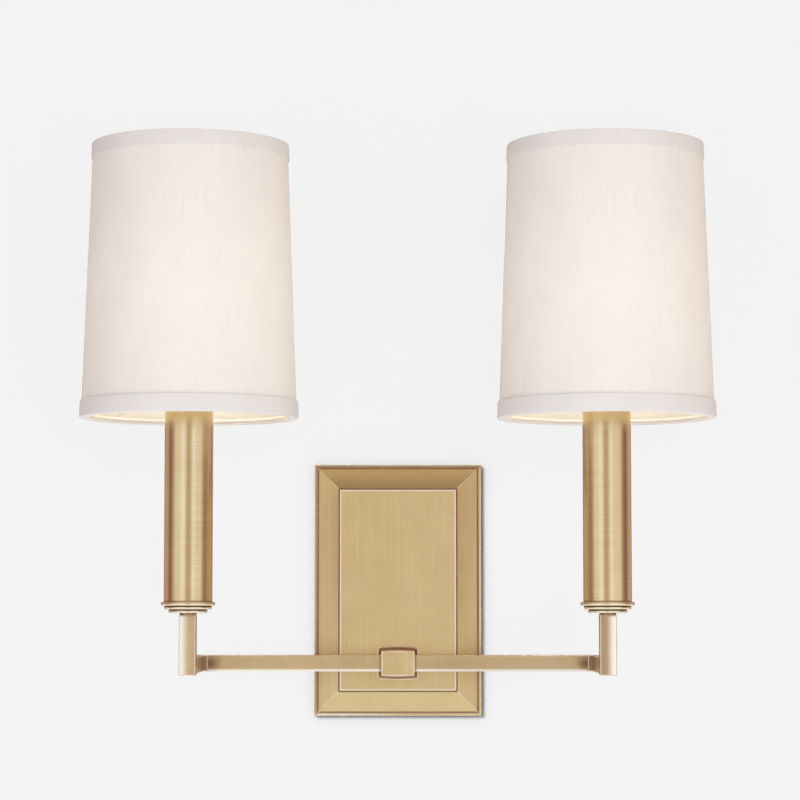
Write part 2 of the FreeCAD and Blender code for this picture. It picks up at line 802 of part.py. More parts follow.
def make_fitter():
    """The washer that sits on the sleeve, three sloping spokes and the bottom wire, brazed into one."""
    washer = ring(sleeve_diameter / 2 + fitter_overhang, ring_bore, Vector(0, 0, sleeve_top),
                  fitter_thickness)
    radius = spoke_diameter / 2
    level = sleeve_top - radius + spoke_braze
    hoop_radius = wire_centre(shade_foot + wire_diameter)
    fitter = washer.fuse(wire_hoop(hoop_radius, bottom_wire_level()))
    begin = Vector(0, sleeve_diameter / 2 + spoke_start, level)
    shoulder = Vector(0, fitter_shoulder, level)
    slope = Vector(0, hoop_radius, bottom_wire_level()) - shoulder
    past_bend = radius * math.tan(slope.getAngle(Y) / 2)
    spoke = rod(radius, begin, shoulder.y - begin.y + past_bend, Y)
    spoke = spoke.fuse(rod(radius, shoulder, slope.Length, slope))
    for index in range(spoke_count):
        turned_spoke = spoke.copy()
        turned_spoke.rotate(Vector(0, 0, 0), Z, 360 / spoke_count * index)
        fitter = fitter.fuse(turned_spoke)
    return fitter.removeSplitter()


def make_retaining_ring():
    """The screwed ring that clamps the fitter, with finger grips round its edge."""
    foot = sleeve_top + fitter_thickness
    outer = ring_bore + ring_width
    clamp = ring(outer, ring_bore, Vector(0, 0, foot), ring_height)
    reach = outer + ring_grip_radius - ring_grip_depth
    for index in range(ring_grips):
        angle = 2 * math.pi / ring_grips * index
        centre = Vector(reach * math.cos(angle), reach * math.sin(angle), foot - past)
        clamp = clamp.cut(rod(ring_grip_radius, centre, ring_height + 2 * past))
    return clamp


# ---- The whole light -----------------------------------------------------------------------------
def wall_side_nodes():
    return {
        "back_plate": make_back_plate(),
        "mounting_strap": make_mounting_strap(),
        "ground_screw": make_ground_screw(),
        "plate_set_screws": make_set_screws(),
        "hub_foot": make_hub_foot(),
        "hub_block": make_hub(),
        "hub_nipple": make_hub_nipple(),
        "hub_washer": make_hub_washer(),
        "hub_nut": make_hub_nut(),
    }


def arm_nodes(side):
    return {"arm": make_arm(side), "elbow": make_elbow(side), "post": make_post(side)}


def lamp_nodes():
    """What stands on one lamp axis, made about Z through the origin."""
    return {
        "cup": make_cup(),
        "sleeve": make_sleeve(),
        "stem": make_stem(),
        "stem_washer": make_stem_washer(),
        "stem_nuts": make_stem_nuts(),
        "socket_bracket": make_socket_bracket(),
        "socket_body": make_socket_body(),
        "socket_liner": make_socket_liner(),
        "socket_contact": make_socket_contact(),
        "bulb_contact": make_bulb_contact(),
        "bulb_insulator": make_bulb_insulator(),
        "bulb_base": make_bulb_base(),
        "bulb_glass": make_bulb_glass(),
        "shade_panel": make_shade_panel(),
        "shade_fitter": make_fitter(),
        "shade_top_ring": make_top_ring(),
        "shade_top_trim": make_top_trim(),
        "shade_bottom_trim": make_bottom_trim(),
        "shade_retaining_ring": make_retaining_ring(),
    }


def build():
    nodes = wall_side_nodes()
    on_axis = lamp_nodes()
    for name, side in sides.items():
        for piece, shape in arm_nodes(side).items():
            nodes[name + "_" + piece] = shape
        for piece, shape in on_axis.items():
            nodes[name + "_" + piece] = moved(shape, side * lamp_x, -lamp_depth)
    return nodes


os.makedirs("parts", exist_ok=True)
for node, shape in build().items():
    shape.exportStep("parts/" + node + ".step")
    state = "valid" if shape.isValid() else "NOT VALID"
    print(node, len(shape.Solids), state, round(shape.Volume, 1))
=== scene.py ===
# %% [markdown]
# # A wall light with two arms
# The real light is a brass wall plate with a small hub. Two square tubes run from the hub, turn
# forward, and carry a stepped cup, a candle sleeve, a lamp and a tapered fabric shade each. The
# measured model comes in first and stays where it is: every piece made here is shaped over one
# of its nodes, in metres, in the same place.

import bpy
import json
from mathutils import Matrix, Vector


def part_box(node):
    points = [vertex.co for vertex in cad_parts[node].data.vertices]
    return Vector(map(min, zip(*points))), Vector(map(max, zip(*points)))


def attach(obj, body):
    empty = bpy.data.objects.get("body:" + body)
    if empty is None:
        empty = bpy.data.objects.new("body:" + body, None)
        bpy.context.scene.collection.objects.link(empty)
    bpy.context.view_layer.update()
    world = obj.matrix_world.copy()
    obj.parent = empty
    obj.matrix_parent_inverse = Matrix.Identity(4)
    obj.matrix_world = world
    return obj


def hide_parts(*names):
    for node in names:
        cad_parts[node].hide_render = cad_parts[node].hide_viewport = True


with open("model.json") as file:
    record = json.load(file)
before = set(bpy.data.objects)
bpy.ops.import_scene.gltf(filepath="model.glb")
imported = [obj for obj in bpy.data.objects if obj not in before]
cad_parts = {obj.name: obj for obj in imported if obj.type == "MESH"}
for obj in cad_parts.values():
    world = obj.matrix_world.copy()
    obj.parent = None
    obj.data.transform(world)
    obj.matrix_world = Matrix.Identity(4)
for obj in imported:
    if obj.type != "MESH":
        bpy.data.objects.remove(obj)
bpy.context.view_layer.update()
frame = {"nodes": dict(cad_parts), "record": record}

# %% What the rest of the script needs
import json
import math
from contextlib import contextmanager

import bmesh
import bpy
from mathutils import Vector

mm = 0.001
scene = bpy.context.scene

# %% [markdown]
# ## Sizes
# The sizes are those of the measured model, written down once. Heights and depths are counted
# from the middle of the plate on the wall. A maker would take them from the drawing in the same
# way, and each piece below says only what its shape adds.

# %% Sizes, in millimetres
plate_size = (114.3, 171.5)
half_wide, half_high = plate_size[0] / 2, plate_size[1] / 2
plate_lip, plate_bevel, plate_ledge = 2.3, 14.2, 0.9
rim_depth, lip_step, bevel_rise, panel_step = 9.0, 1.5, 8.5, 2.0
plate_depth = rim_depth + lip_step + bevel_rise + panel_step
plate_wall = 1.6
bar, bar_wall, bar_corner = 11.0, 1.1, 0.7
arm_level, arm_depth, arm_end = -49.5, 29.5, 7.1
lamp_x, lamp_depth, joint_x = 137.0, 95.0, 128.3
post_foot, cup_foot, candle_foot, sleeve_top = -56.0, -16.6, -8.2, 136.8
sleeve_radius, sleeve_bore = 15.875, 15.075
shade_foot, shade_top = 111.8, 292.8
shade_foot_radius, shade_top_radius = 70.75, 64.25
left_axis = Vector((-lamp_x, -lamp_depth, 0)) * mm
low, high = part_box("back_plate")
print("plate", [round(v / mm, 2) for v in high - low], "mm, drawn as", plate_size, plate_depth)

# %% [markdown]
# ## A few hand tools
# Each tool below is one habit of modelling by hand: select only this piece, go into edit mode,
# pick faces or edges by where they are, add a modifier and apply it. Written once, they keep the
# cells for the pieces short.


# %% Select, edit and modify
def only(*pieces):
    """Selects these pieces and nothing else."""
    bpy.ops.object.select_all(action="DESELECT")
    for piece in pieces:
        piece.select_set(True)
    bpy.context.view_layer.objects.active = pieces[0]


def primitive(kind, name, **size):
    """Adds a primitive and puts its place into its mesh."""
    bpy.ops.object.select_all(action="DESELECT")
    getattr(bpy.ops.mesh, "primitive_" + kind + "_add")(**size)
    piece = bpy.context.object
    piece.name = piece.data.name = name
    bpy.ops.object.transform_apply(location=True, rotation=True, scale=True)
    return piece


@contextmanager
def editing(piece):
    """Edit mode on one piece, with all of it selected, and back to object mode afterwards."""
    only(piece)
    bpy.ops.object.mode_set(mode="EDIT")
    bpy.ops.mesh.select_mode(type="EDGE")
    bpy.ops.mesh.select_all(action="SELECT")
    yield
    bpy.ops.object.mode_set(mode="OBJECT")


def cuboid(name, x, y, z):
    """A box between two values on each axis, in mm, for tubes and cutters."""
    middle = Vector((sum(x), sum(y), sum(z))) / 2 * mm
    piece = primitive("cube", name, size=mm, location=middle)
    with editing(piece):
        bpy.ops.transform.resize(value=(x[1] - x[0], y[1] - y[0], z[1] - z[0]),
                                 center_override=middle)
    return piece


def choose(piece, kind, test):
    """In edit mode, selects the faces, edges or vertices whose middle and direction pass a test."""
    bpy.ops.mesh.select_mode(type=kind)
    bpy.ops.mesh.select_all(action="DESELECT")
    mesh = bmesh.from_edit_mesh(piece.data)
    mesh.normal_update()
    if kind == "FACE":
        chosen = [f for f in mesh.faces if test(f.calc_center_median() / mm, f.normal)]
    elif kind == "EDGE":
        ends = [(e, e.verts[0].co, e.verts[1].co) for e in mesh.edges]
        chosen = [e for e, a, b in ends if test((a + b) / 2 / mm, (b - a).normalized())]
    else:
        chosen = [v for v in mesh.verts if test(v.co / mm, v.normal)]
    for item in chosen:
        item.select_set(True)
    mesh.select_flush_mode()
    bmesh.update_edit_mesh(piece.data)
    return len(chosen)


def modify(piece, kind, **settings):
    """Adds a modifier with these settings and applies it."""
    only(piece)
    bpy.ops.object.modifier_add(type=kind)
    modifier = piece.modifiers[-1]
    for name, value in settings.items():
        setattr(modifier, name, value)
    bpy.ops.object.modifier_apply(modifier=modifier.name)


def cut(piece, cutter):
    """Takes a cutter's shape out of a piece, and then the cutter away."""
    modify(piece, "BOOLEAN", operation="DIFFERENCE", object=cutter, solver="EXACT")
    bpy.data.objects.remove(cutter)


def soften(piece, width, test, segments=3, edge_slot=1):
    """Bevels the edges that pass a test. The new faces take the finish in the slot given, by default
    the rubbed edge, whose paler brass partly paints a highlight.
    """
    with editing(piece):
        if choose(piece, "EDGE", test):
            bpy.ops.mesh.bevel(offset=width * mm, offset_type="OFFSET", segments=segments,
                               affect="EDGES", clamp_overlap=True, material=edge_slot)


# %% [markdown]
# ## Two ways of making a form
# Most of this light is turned or pressed. A turned piece starts as one ring of edges that is
# extruded and scaled again and again, as a lathe tool follows a profile. A pressed piece starts
# as a flat grid that is extruded towards the room and scaled at each step, like sheet over a die.
# Both keep clean rows of faces, which a boolean or a scan would not.


# %% Turned pieces
def turn(name, profile, sides=72, closed=True):
    """Turns (radius, height) points, in mm, round the left lamp's axis."""
    radius, height = profile[0]
    piece = primitive("circle", name, vertices=sides, radius=radius * mm,
                      location=left_axis + Vector((0, 0, height * mm)))
    with editing(piece):
        for next_radius, next_height in profile[1:] + (profile[:1] if closed else []):
            rise = Vector((0, 0, (next_height - height) * mm))
            bpy.ops.mesh.extrude_region_move(TRANSFORM_OT_translate={"value": rise})
            if next_radius == 0:
                bpy.ops.mesh.merge(type="CENTER")
                break
            scale = next_radius / radius
            bpy.ops.transform.resize(value=(scale, scale, 1), center_override=left_axis)
            radius, height = next_radius, next_height
        bpy.ops.mesh.select_all(action="SELECT")
        bpy.ops.mesh.remove_doubles(threshold=0.002 * mm)
        bpy.ops.mesh.normals_make_consistent(inside=False)
    return piece


def bead(radius, foot, height, steps=6):
    """The rounded edge of a turned ring, from its lower corner to its upper one."""
    bulge = 0.3 * height
    arc = (height * height / 4 + bulge * bulge) / (2 * bulge)
    half = math.asin(height / 2 / arc)
    angles = [half * (2 * step / steps - 1) for step in range(steps + 1)]
    return [(radius - arc + arc * math.cos(a), foot + height / 2 + arc * math.sin(a))
            for a in angles]


# %% Pressed pieces
def press(name, size, centre, steps, cuts=1, corner=0.0, bow=0.0):
    """Raises a rectangle off the wall by (margin, depth) steps, in mm. bow swells its sides."""
    half_x, half_z = size[0] / 2, size[1] / 2
    first_x, first_z = half_x - steps[0][0], half_z - steps[0][0]
    place = Vector((0, -steps[0][1], centre)) * mm
    piece = primitive("grid", name, x_subdivisions=cuts, y_subdivisions=cuts, size=mm,
                      rotation=(math.pi / 2, 0, 0))
    with editing(piece):
        bpy.ops.transform.resize(value=(2 * first_x, 1, 2 * first_z), center_override=(0, 0, 0))
        if corner:
            choose(piece, "VERT", lambda p, n: abs(p.x) > first_x - 0.01
                   and abs(p.z) > first_z - 0.01)
            bpy.ops.mesh.bevel(offset=corner * mm, segments=5, affect="VERTICES")
    if bow:
        round_size = 0.65 * (first_x + first_z) * mm
        modify(piece, "CAST", factor=bow, cast_type="SPHERE", use_y=False, size=round_size,
               use_radius_as_size=False)
    with editing(piece):
        bpy.ops.transform.translate(value=place)
        bpy.ops.mesh.select_mode(type="FACE")
        bpy.ops.mesh.select_all(action="SELECT")
        for (before, near), (after, far) in zip(steps, steps[1:]):
            bpy.ops.mesh.extrude_region_move(
                TRANSFORM_OT_translate={"value": Vector((0, near - far, 0)) * mm})
            scale_x = (half_x - after) / (half_x - before)
            scale_z = (half_z - after) / (half_z - before)
            bpy.ops.transform.resize(value=(scale_x, 1, scale_z), center_override=place)
        bpy.ops.mesh.select_all(action="SELECT")
        bpy.ops.mesh.normals_make_consistent(inside=False)
    return piece


# %% [markdown]
# ## Handing a piece over
# A finished piece gets smooth shading up to an angle and normals that lean on its large faces, so
# that flat metal stays flat beside a small bevel. Then it rides on its body and stands for its
# node. The light is the same left and right, so the left lamp's pieces are made once and copied.


# %% Finish, copy and hand over
def enclosed(piece):
    """The volume inside a closed mesh, negative where its faces point inwards."""
    mesh = bmesh.new()
    mesh.from_mesh(piece.data)
    volume = mesh.calc_volume(signed=True)
    mesh.free()
    return volume


def hand_over(piece, body, slot, *nodes, angle=32):
    """Smooths a piece, puts it on the body that carries it and hides the nodes it stands for. slot
    is not used.
    """
    only(piece)
    bpy.ops.object.shade_smooth_by_angle(angle=math.radians(angle))
    modify(piece, "WEIGHTED_NORMAL", keep_sharp=True)
    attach(piece, body)
    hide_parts(*nodes)
    print(piece.name, len(piece.data.polygons), "faces,", round(enclosed(piece) * 1e6, 2), "cm3")


def other_side(piece, mirrored):
    """Copies a left piece to the right lamp, turned into its mirror image if it needs to be."""
    only(piece)
    bpy.ops.object.duplicate()
    twin = bpy.context.object
    twin.name = twin.data.name = piece.name.replace("left", "right")
    if mirrored:
        bpy.ops.transform.resize(value=(-1, 1, 1), center_override=(0, 0, 0))
    else:
        bpy.ops.transform.translate(value=(2 * lamp_x * mm, 0, 0))
    bpy.ops.object.transform_apply(location=True, rotation=True, scale=True)
    if enclosed(twin) < 0:
        with editing(twin):
            bpy.ops.mesh.select_mode(type="FACE")
            bpy.ops.mesh.select_all(action="SELECT")
            bpy.ops.mesh.flip_normals()
    return twin


def hand_over_pair(piece, name, slot, body=None, mirrored=False):
    """Hands over a left piece and its right twin. They ride on the frame or on their own bodies."""
    twin = other_side(piece, mirrored)
    for part, side in ((piece, "left"), (twin, "right")):
        hand_over(part, side + "_" + body if body else "frame", slot, side + "_" + name)
    return piece, twin


# %% [markdown]
# ## Sums on sockets
# A finish is a network of nodes, and most of it is arithmetic. Wrapping a socket in a small class
# lets that be written as sums: `1 - mask` adds the Math node that it needs. Any other node comes
# from one method, which sets the node up first and then fills its sockets.


# %% The socket class
class Value:
    """An output socket of a material's nodes, on which Python's sums work."""

    def __init__(self, tree, socket=None):
        self.tree, self.socket = tree, socket

    def node(self, kind, settings=None, output=0, **sockets):
        """Adds a node. Sockets are named with _ for a space, or by number, as in_1."""
        node = self.tree.nodes.new(kind)
        for name, value in (settings or {}).items():
            if name == "stops":
                ramp = node.color_ramp.elements
                ramp.remove(ramp[1])
                ramp[0].position, ramp[0].color = value[0][0], (*value[0][1], 1)
                for position, color in value[1:]:
                    ramp.new(position).color = (*color, 1)
            else:
                setattr(node, name, value)
        for name, value in sockets.items():
            key = int(name[3:]) if name.startswith("in_") else name.replace("_", " ")
            if isinstance(value, Value):
                self.tree.links.new(value.socket, node.inputs[key])
            else:
                node.inputs[key].default_value = value
        return Value(self.tree, node.outputs[output] if node.outputs else None)

    def sum(self, operation, *values):
        """A Math node on these values."""
        sockets = {"in_" + str(i): value for i, value in enumerate(values)}
        return self.node("ShaderNodeMath", {"operation": operation}, **sockets)

    def __add__(self, other):
        return self.sum("ADD", self, other)

    __radd__ = __add__

    def __sub__(self, other):
        return self.sum("SUBTRACT", self, other)

    def __rsub__(self, other):
        return self.sum("SUBTRACT", other, self)

    def __mul__(self, other):
        return self.sum("MULTIPLY", self, other)

    __rmul__ = __mul__

    def __truediv__(self, other):
        return self.sum("DIVIDE", self, other)

    def __abs__(self):
        return self.sum("ABSOLUTE", self)

    def larger(self, other):
        return self.sum("MAXIMUM", self, other)

    def root(self):
        return self.sum("SQRT", self)

    def fade(self, start, end):
        """1 at start, 0 at end, with a smooth slope between."""
        return self.node("ShaderNodeMapRange", {"interpolation_type": "SMOOTHSTEP"},
                         Value=self, From_Min=start, From_Max=end, To_Min=1.0, To_Max=0.0)

    def mix(self, share, first, second):
        """A colour between two colours."""
        return self.node("ShaderNodeMix", {"data_type": "RGBA"}, output=2,
                         in_0=share, in_6=first, in_7=second)

    def place(self):
        """The place on the object in millimetres, as three values and the vector."""
        here = self.node("ShaderNodeTexCoord", output=3)
        scaled = self.node("ShaderNodeVectorMath", {"operation": "SCALE"}, in_0=here, in_3=1000.0)
        x, y, z = (self.node("ShaderNodeSeparateXYZ", output=i, in_0=scaled) for i in range(3))
        return x, y, z, scaled

    def noise(self, where, spans, detail=3.0, roughness=0.5, seed=0.0):
        """Noise whose cells are this many millimetres long on each axis."""
        stretched = self.node("ShaderNodeMapping", Vector=where, Location=(seed, seed, seed),
                              Scale=[1 / span for span in spans])
        return self.node("ShaderNodeTexNoise", Vector=stretched, Scale=1.0, Detail=detail,
                         Roughness=roughness)

    def bump(self, height, strength, distance):
        """A normal from a height. distance is in millimetres."""
        return self.node("ShaderNodeBump", Height=height, Strength=strength,
                         Distance=distance * mm)


# %% New materials
def rgba(*color):
    return (*color, 1.0)


def material(name):
    """An empty node material and the value that its sums start from."""
    made = bpy.data.materials.new(name)
    made.use_nodes = True
    made.node_tree.nodes.clear()
    return made, Value(made.node_tree)


def surface(value, **sockets):
    """Ends a material in a Principled shader with these sockets."""
    shader = value.node("ShaderNodeBsdfPrincipled", **sockets)
    value.node("ShaderNodeOutputMaterial", Surface=shader)


# %% [markdown]
# ## Aged brass
# The brass is brushed, darkened by age in its corners, rubbed bright on its edges, and lacquered.
# Paint on a flat colour would look dead, so the finish is built as the maker builds it: streaks
# that follow the brush, dark patina where a cloth doesn't reach, and a thin clear coat. The dark
# masks also paint shade into creases, under parts and on faces turned from the light; the pale
# masks and the bright edges paint highlights. The plate and the hub get a paler brass than the
# tubes, partly a brighter polish and partly painted sheen. Each piece says which way it was
# brushed, where its patina and painted shade lie, and where its highlights are painted.

# %% The brass
aged = (rgba(0.60, 0.455, 0.235), rgba(0.75, 0.60, 0.34))
# The plate and the hub's paler brass is partly a brighter polish and partly painted sheen.
polished_and_sheen = (rgba(0.68, 0.525, 0.255), rgba(0.85, 0.69, 0.37))
# The pale gold paints highlights; the dark brown paints patina and shade in creases and under parts.
rubbed_highlight_gold = rgba(0.97, 0.92, 0.80)
patina_and_shade_brown = rgba(0.17, 0.065, 0.035)


def wear_brass(piece, name, grain, shade_and_patina, shine=None, rough=0.27, tones=aged):
    """Gives a piece its brass, and the rubbed edge for the bevels that come next. grain is the
    brush streaks' length on each axis. The first mask gives dark patina and painted shade, the
    second painted highlights, and tones are the metal's deep and pale colour."""
    made, value = material(name)
    x, y, z, here = value.place()
    streak = value.noise(here, [span * 3 for span in grain], detail=2.0)
    fine = value.noise(here, grain, detail=3.0, roughness=0.6, seed=7.0)
    cloud = value.noise(here, (22, 22, 22), detail=2.0, seed=3.0)
    tone = (streak * 0.5 + fine * 0.3 + cloud * 0.5 - 0.65) * 1.6 + 0.5
    color = value.mix(tone, *tones)
    rough = rough + fine * 0.10
    metal = 1.0
    # Where highlights are painted, the brass turns paler and less metallic.
    if shine:
        pale = shine(x, y, z)
        color = value.mix(pale, color, rubbed_highlight_gold)
        metal = 1 - pale * 0.35
    # Patina and painted shade darken the brass.
    mask = shade_and_patina(x, y, z)
    color = value.mix(mask * (0.65 + cloud * 0.7), color, patina_and_shade_brown)
    surface(value, Base_Color=color, Metallic=metal, Roughness=rough + mask * 0.15,
            Coat_Weight=0.25, Coat_Roughness=0.12, Normal=value.bump(fine, 0.5, 0.02))
    piece.data.materials.append(made)
    piece.data.materials.append(rubbed_edge_sheen)


def rubbed_brass():
    """The bright metal of a rubbed edge, pale enough that it also paints a highlight on the bevels.
    """
    made, value = material("brass_rubbed_edge")
    here = value.place()[3]
    wear = value.noise(here, (4, 4, 4), detail=3.0)
    color = value.mix(wear, rgba(0.80, 0.64, 0.40), rgba(0.94, 0.83, 0.64))
    surface(value, Base_Color=color, Metallic=1.0, Roughness=0.2 + wear * 0.12,
            Coat_Weight=0.25, Coat_Roughness=0.12)
    return made


rubbed_edge_sheen = rubbed_brass()
print("brass", len(rubbed_edge_sheen.node_tree.nodes), "nodes in the rubbed edge")

# %% [markdown]
# ## Wall plate
# A pan pressed from sheet brass: an upright rim, a narrow lip, a broad bevel with mitred corners,
# and a raised panel inside a fine crease. One rectangle is raised off the wall step by step. The
# open back is then given the sheet's thickness, so that from behind it is hollow, as it is.

# %% Plate form
bevel_start = rim_depth + lip_step
bevel_end = bevel_start + bevel_rise
panel_margin = plate_lip + plate_bevel + plate_ledge
plate = press("wall_plate", plate_size, 0, [
    (0, 0), (0, rim_depth), (plate_lip, rim_depth), (plate_lip, bevel_start),
    (plate_lip + plate_bevel, bevel_end), (panel_margin, bevel_end), (panel_margin, plate_depth)])
with editing(plate):
    choose(plate, "FACE", lambda p, n: p.y > -0.01)
    bpy.ops.mesh.delete(type="FACE")
modify(plate, "SOLIDIFY", thickness=plate_wall * mm, offset=-1, use_even_offset=True)


def plate_line(x, z, margin, width):
    """A soft line round the plate, this far in from its outline."""
    off_side = abs(x) - (half_wide - margin)
    off_top = abs(z) - (half_high - margin)
    return abs(off_side.larger(off_top)).fade(0.0, width)


def plate_corners(x, y, z):
    """Patina and painted shade in the creases; painted shade on the top and left lips and low on the
    top bevel.
    """
    creases = plate_line(x, z, plate_lip + 0.1, 1.1).larger(
        plate_line(x, z, panel_margin - 0.4, 0.9))
    mitre = half_high - half_wide
    above_panel = z - (half_high - panel_margin)
    top = (abs(x) + mitre - z).fade(0.0, 0.5) * above_panel.fade(0.0, 13.0) \
        * above_panel.fade(0.0, -0.4) * 0.40
    top_lip = (half_high - z).fade(2.0, 2.8) * 0.55
    left_lip = (x + half_wide).fade(2.0, 2.8) * 0.45
    return creases.larger(top).larger(top_lip).larger(left_lip)


def plate_shine(x, y, z):
    """A painted highlight along the panel's edge and on the lip at the bottom."""
    lip = (z + half_high).fade(1.2, 2.0) * x.fade(-40.0, 10.0)
    return plate_line(x, z, panel_margin + 0.6, 0.9).larger(lip) * 0.75


wear_brass(plate, "brass_plate", (0.35, 0.35, 30), plate_corners, plate_shine, tones=polished_and_sheen)


# %% Plate edges
def on_frame(margin, slack=0.05):
    """A test for edges that lie on the rectangle this far in from the plate's outline."""
    def test(p, d):
        off_side = abs(p.x) - (half_wide - margin)
        off_top = abs(p.z) - (half_high - margin)
        return (abs(off_side) < slack and off_top < slack
                or abs(off_top) < slack and off_side < slack)
    return test


soften(plate, 0.5, lambda p, d: abs(p.y + rim_depth) < 0.01 and on_frame(0)(p, d))
soften(plate, 0.45, lambda p, d: abs(p.y + plate_depth) < 0.01 and on_frame(panel_margin)(p, d))
soften(plate, 0.3, lambda p, d: abs(d.x) > 0.2 and abs(d.z) > 0.2 and -bevel_end < p.y
       and abs(p.y + (bevel_start + bevel_end) / 2) < 0.4)
soften(plate, 0.2, lambda p, d: abs(p.y + bevel_start) < 0.01 and on_frame(plate_lip)(p, d), 2)
print("plate", len(plate.data.polygons), "faces with its edges broken")


# %% Plate holes
def drill(piece, radius, centre, axis):
    """Cuts a round hole through a piece."""
    turned_to = (0, math.pi / 2, 0) if axis == "x" else (math.pi / 2, 0, 0)
    cut(piece, primitive("cylinder", "drill", vertices=32, radius=radius * mm, depth=0.5,
                         location=Vector(centre) * mm, rotation=turned_to))


set_screw_hole, set_screw_depth, nipple_hole = 2.05, 4.6, 5.15
drill(plate, set_screw_hole, (0, -set_screw_depth, 0), "x")
drill(plate, nipple_hole, (0, 0, arm_level), "y")
hand_over(plate, "frame", "aged_brass", "back_plate")

# %% [markdown]
# ## Hub
# The hub is a small block on a thin foot plate with rounded corners. Its sides curve out to the
# foot and its face is slightly pillowed, so the light rolls off its edges. The same pressing is
# used, with a cast modifier that bows the outline, and one soft pull in the middle of the face.

# %% Hub foot
foot_front = plate_depth + 1.6
foot_half = (14.35, 11.15)
foot_rim = 1.15
# Where the patina and painted shade round the block begin.
cove_shade_edge = (13.2, 10.2)
hub_foot = press("hub_foot_plate", (2 * foot_half[0], 2 * foot_half[1]), arm_level,
                 [(0, plate_depth), (0, foot_front)], cuts=8, corner=2.6, bow=0.10)


def foot_corners(x, y, z):
    """Patina and painted shade in the angle between the foot plate and the block, darkest above it.
    """
    off_side = abs(x) - cove_shade_edge[0]
    off_top = abs(z - arm_level) - cove_shade_edge[1]
    inside = off_side.larger(off_top).fade(-1.2, 0.6)
    return inside * (0.75 + (z - arm_level).fade(9.0, 3.0) * 0.25)


wear_brass(hub_foot, "brass_hub_foot", (0.5, 0.5, 12), foot_corners, tones=polished_and_sheen)
soften(hub_foot, 0.8, lambda p, d: abs(p.y + foot_front) < 0.01
       and (abs(p.x) > foot_half[0] - foot_rim or abs(p.z - arm_level) > foot_half[1] - foot_rim), 4)
hand_over(hub_foot, "frame", "aged_brass", "hub_foot", angle=40)

# %% Hub block
hub_width, hub_height, hub_depth, hub_flare = 23.2, 17.4, 38.2, 1.7
shoulder, cove = hub_depth - 0.6, 2.6
cove_steps = [(-hub_flare * (1 - math.sin(angle)), foot_front + cove * (1 - math.cos(angle)))
              for angle in map(math.radians, (0, 22, 45, 68, 90))]
hub = press("hub", (hub_width, hub_height), arm_level, cove_steps + [(0.3, shoulder)],
            cuts=8, corner=0.9, bow=0.10)


def hub_corners(x, y, z):
    """Patina and painted shade in the cove round the block's foot."""
    return (-1 * y).fade(foot_front + 0.8, foot_front + 6.0) * 0.7


def hub_shine(x, y, z):
    """A painted highlight on the edges round the block's face."""
    off_side = abs(x) - hub_width / 2
    off_top = abs(z - arm_level) - hub_height / 2
    return off_side.larger(off_top).fade(-0.3, -1.5) * (-1 * y).fade(shoulder - 0.8, shoulder - 2.2)


wear_brass(hub, "brass_hub", (0.5, 0.5, 12), hub_corners, hub_shine, tones=polished_and_sheen)
with editing(hub):
    choose(hub, "VERT", lambda p, n: abs(p.y + shoulder) < 0.01 and abs(p.x) < 0.1
           and abs(p.z - arm_level) < 0.1)
    bpy.ops.transform.translate(value=(0, -0.5 * mm, 0), use_proportional_edit=True,
                                proportional_edit_falloff="SMOOTH", proportional_size=11 * mm)
face_edge = 0.75
soften(hub, 0.8, lambda p, d: abs(p.y + shoulder) < 0.3 and abs(d.y) < 0.5
       and (abs(p.x) > hub_width / 2 - face_edge
            or abs(p.z - arm_level) > hub_height / 2 - face_edge), 4)

# %% Sockets for the arms
socket_half = bar / 2 + 0.05
for side in (-1, 1):
    reach = (side * arm_end, side * (arm_end + 20))
    cut(hub, cuboid("cutter", (min(reach), max(reach)),
                    (-arm_depth - socket_half, -arm_depth + socket_half),
                    (arm_level - socket_half, arm_level + socket_half)))
hand_over(hub, "frame", "aged_brass", "hub_block", angle=40)

# %% [markdown]
# ## Arms, elbows and uprights
# All three are square tube with small round corners. A box has its end faces taken away and is
# given the tube's wall, then the outer corners are rounded, so that the hollow runs right through
# as it does for the wires. The arm's lower edges are rounder than its upper ones. Where arm and
# elbow meet, both ends have their edges broken, which leaves the fine line seen there.


# %% Square tube
def open_tube(piece, is_end):
    """Takes the end faces off a box and gives it the tube's wall, inwards."""
    with editing(piece):
        choose(piece, "FACE", is_end)
        bpy.ops.mesh.delete(type="FACE")
        bpy.ops.mesh.select_all(action="SELECT")
        bpy.ops.mesh.normals_make_consistent(inside=False)
    modify(piece, "SOLIDIFY", thickness=bar_wall * mm, offset=-1, use_even_offset=True)


half_bar = bar / 2
arm_high = (arm_level - half_bar, arm_level + half_bar)
arm_deep = (-arm_depth - half_bar, -arm_depth + half_bar)


def outer_edge(place, middle):
    """True on the outside of the bar, or past it."""
    return abs(place - middle) > half_bar - 0.01


def joint_edges(p, d):
    """The outer edges of the tube's end at the joint line."""
    return (abs(p.x + joint_x) < 0.01 and abs(d.x) < 0.5
            and (outer_edge(p.y, -arm_depth) or outer_edge(p.z, arm_level)))


# %% Arm
arm = cuboid("left_arm_tube", (-joint_x, -arm_end), arm_deep, arm_high)
open_tube(arm, lambda p, n: abs(n.x) > 0.9)


def arm_corners(x, y, z):
    """Patina and painted shade beside the hub, a painted reflection by the joint that is darkest at
    mid height, a dark line at the joint, and painted shade on the bar's back. The right arm is
    painted a little darker from where it leaves the hub."""
    at_hub = abs(x).fade(11.0, 14.0) * 0.6
    at_joint = (joint_x - abs(x)).fade(1.0, 12.0) * abs(z - arm_level).fade(0.0, 8.0) * 0.7
    line = (joint_x - abs(x)).fade(0.1, 0.7) * 0.8
    behind = (-1 * y).fade(arm_depth - half_bar, arm_depth - half_bar + 1.5) * 0.5
    right = x.fade(40.0, 10.0) * 0.14
    return at_hub.larger(at_joint).larger(line).larger(behind).larger(right)


def arm_shine(x, y, z):
    """A painted reflection of the bright ground along the lower edge of the bar's face."""
    return (z - arm_level + half_bar).fade(0.4, 2.6)


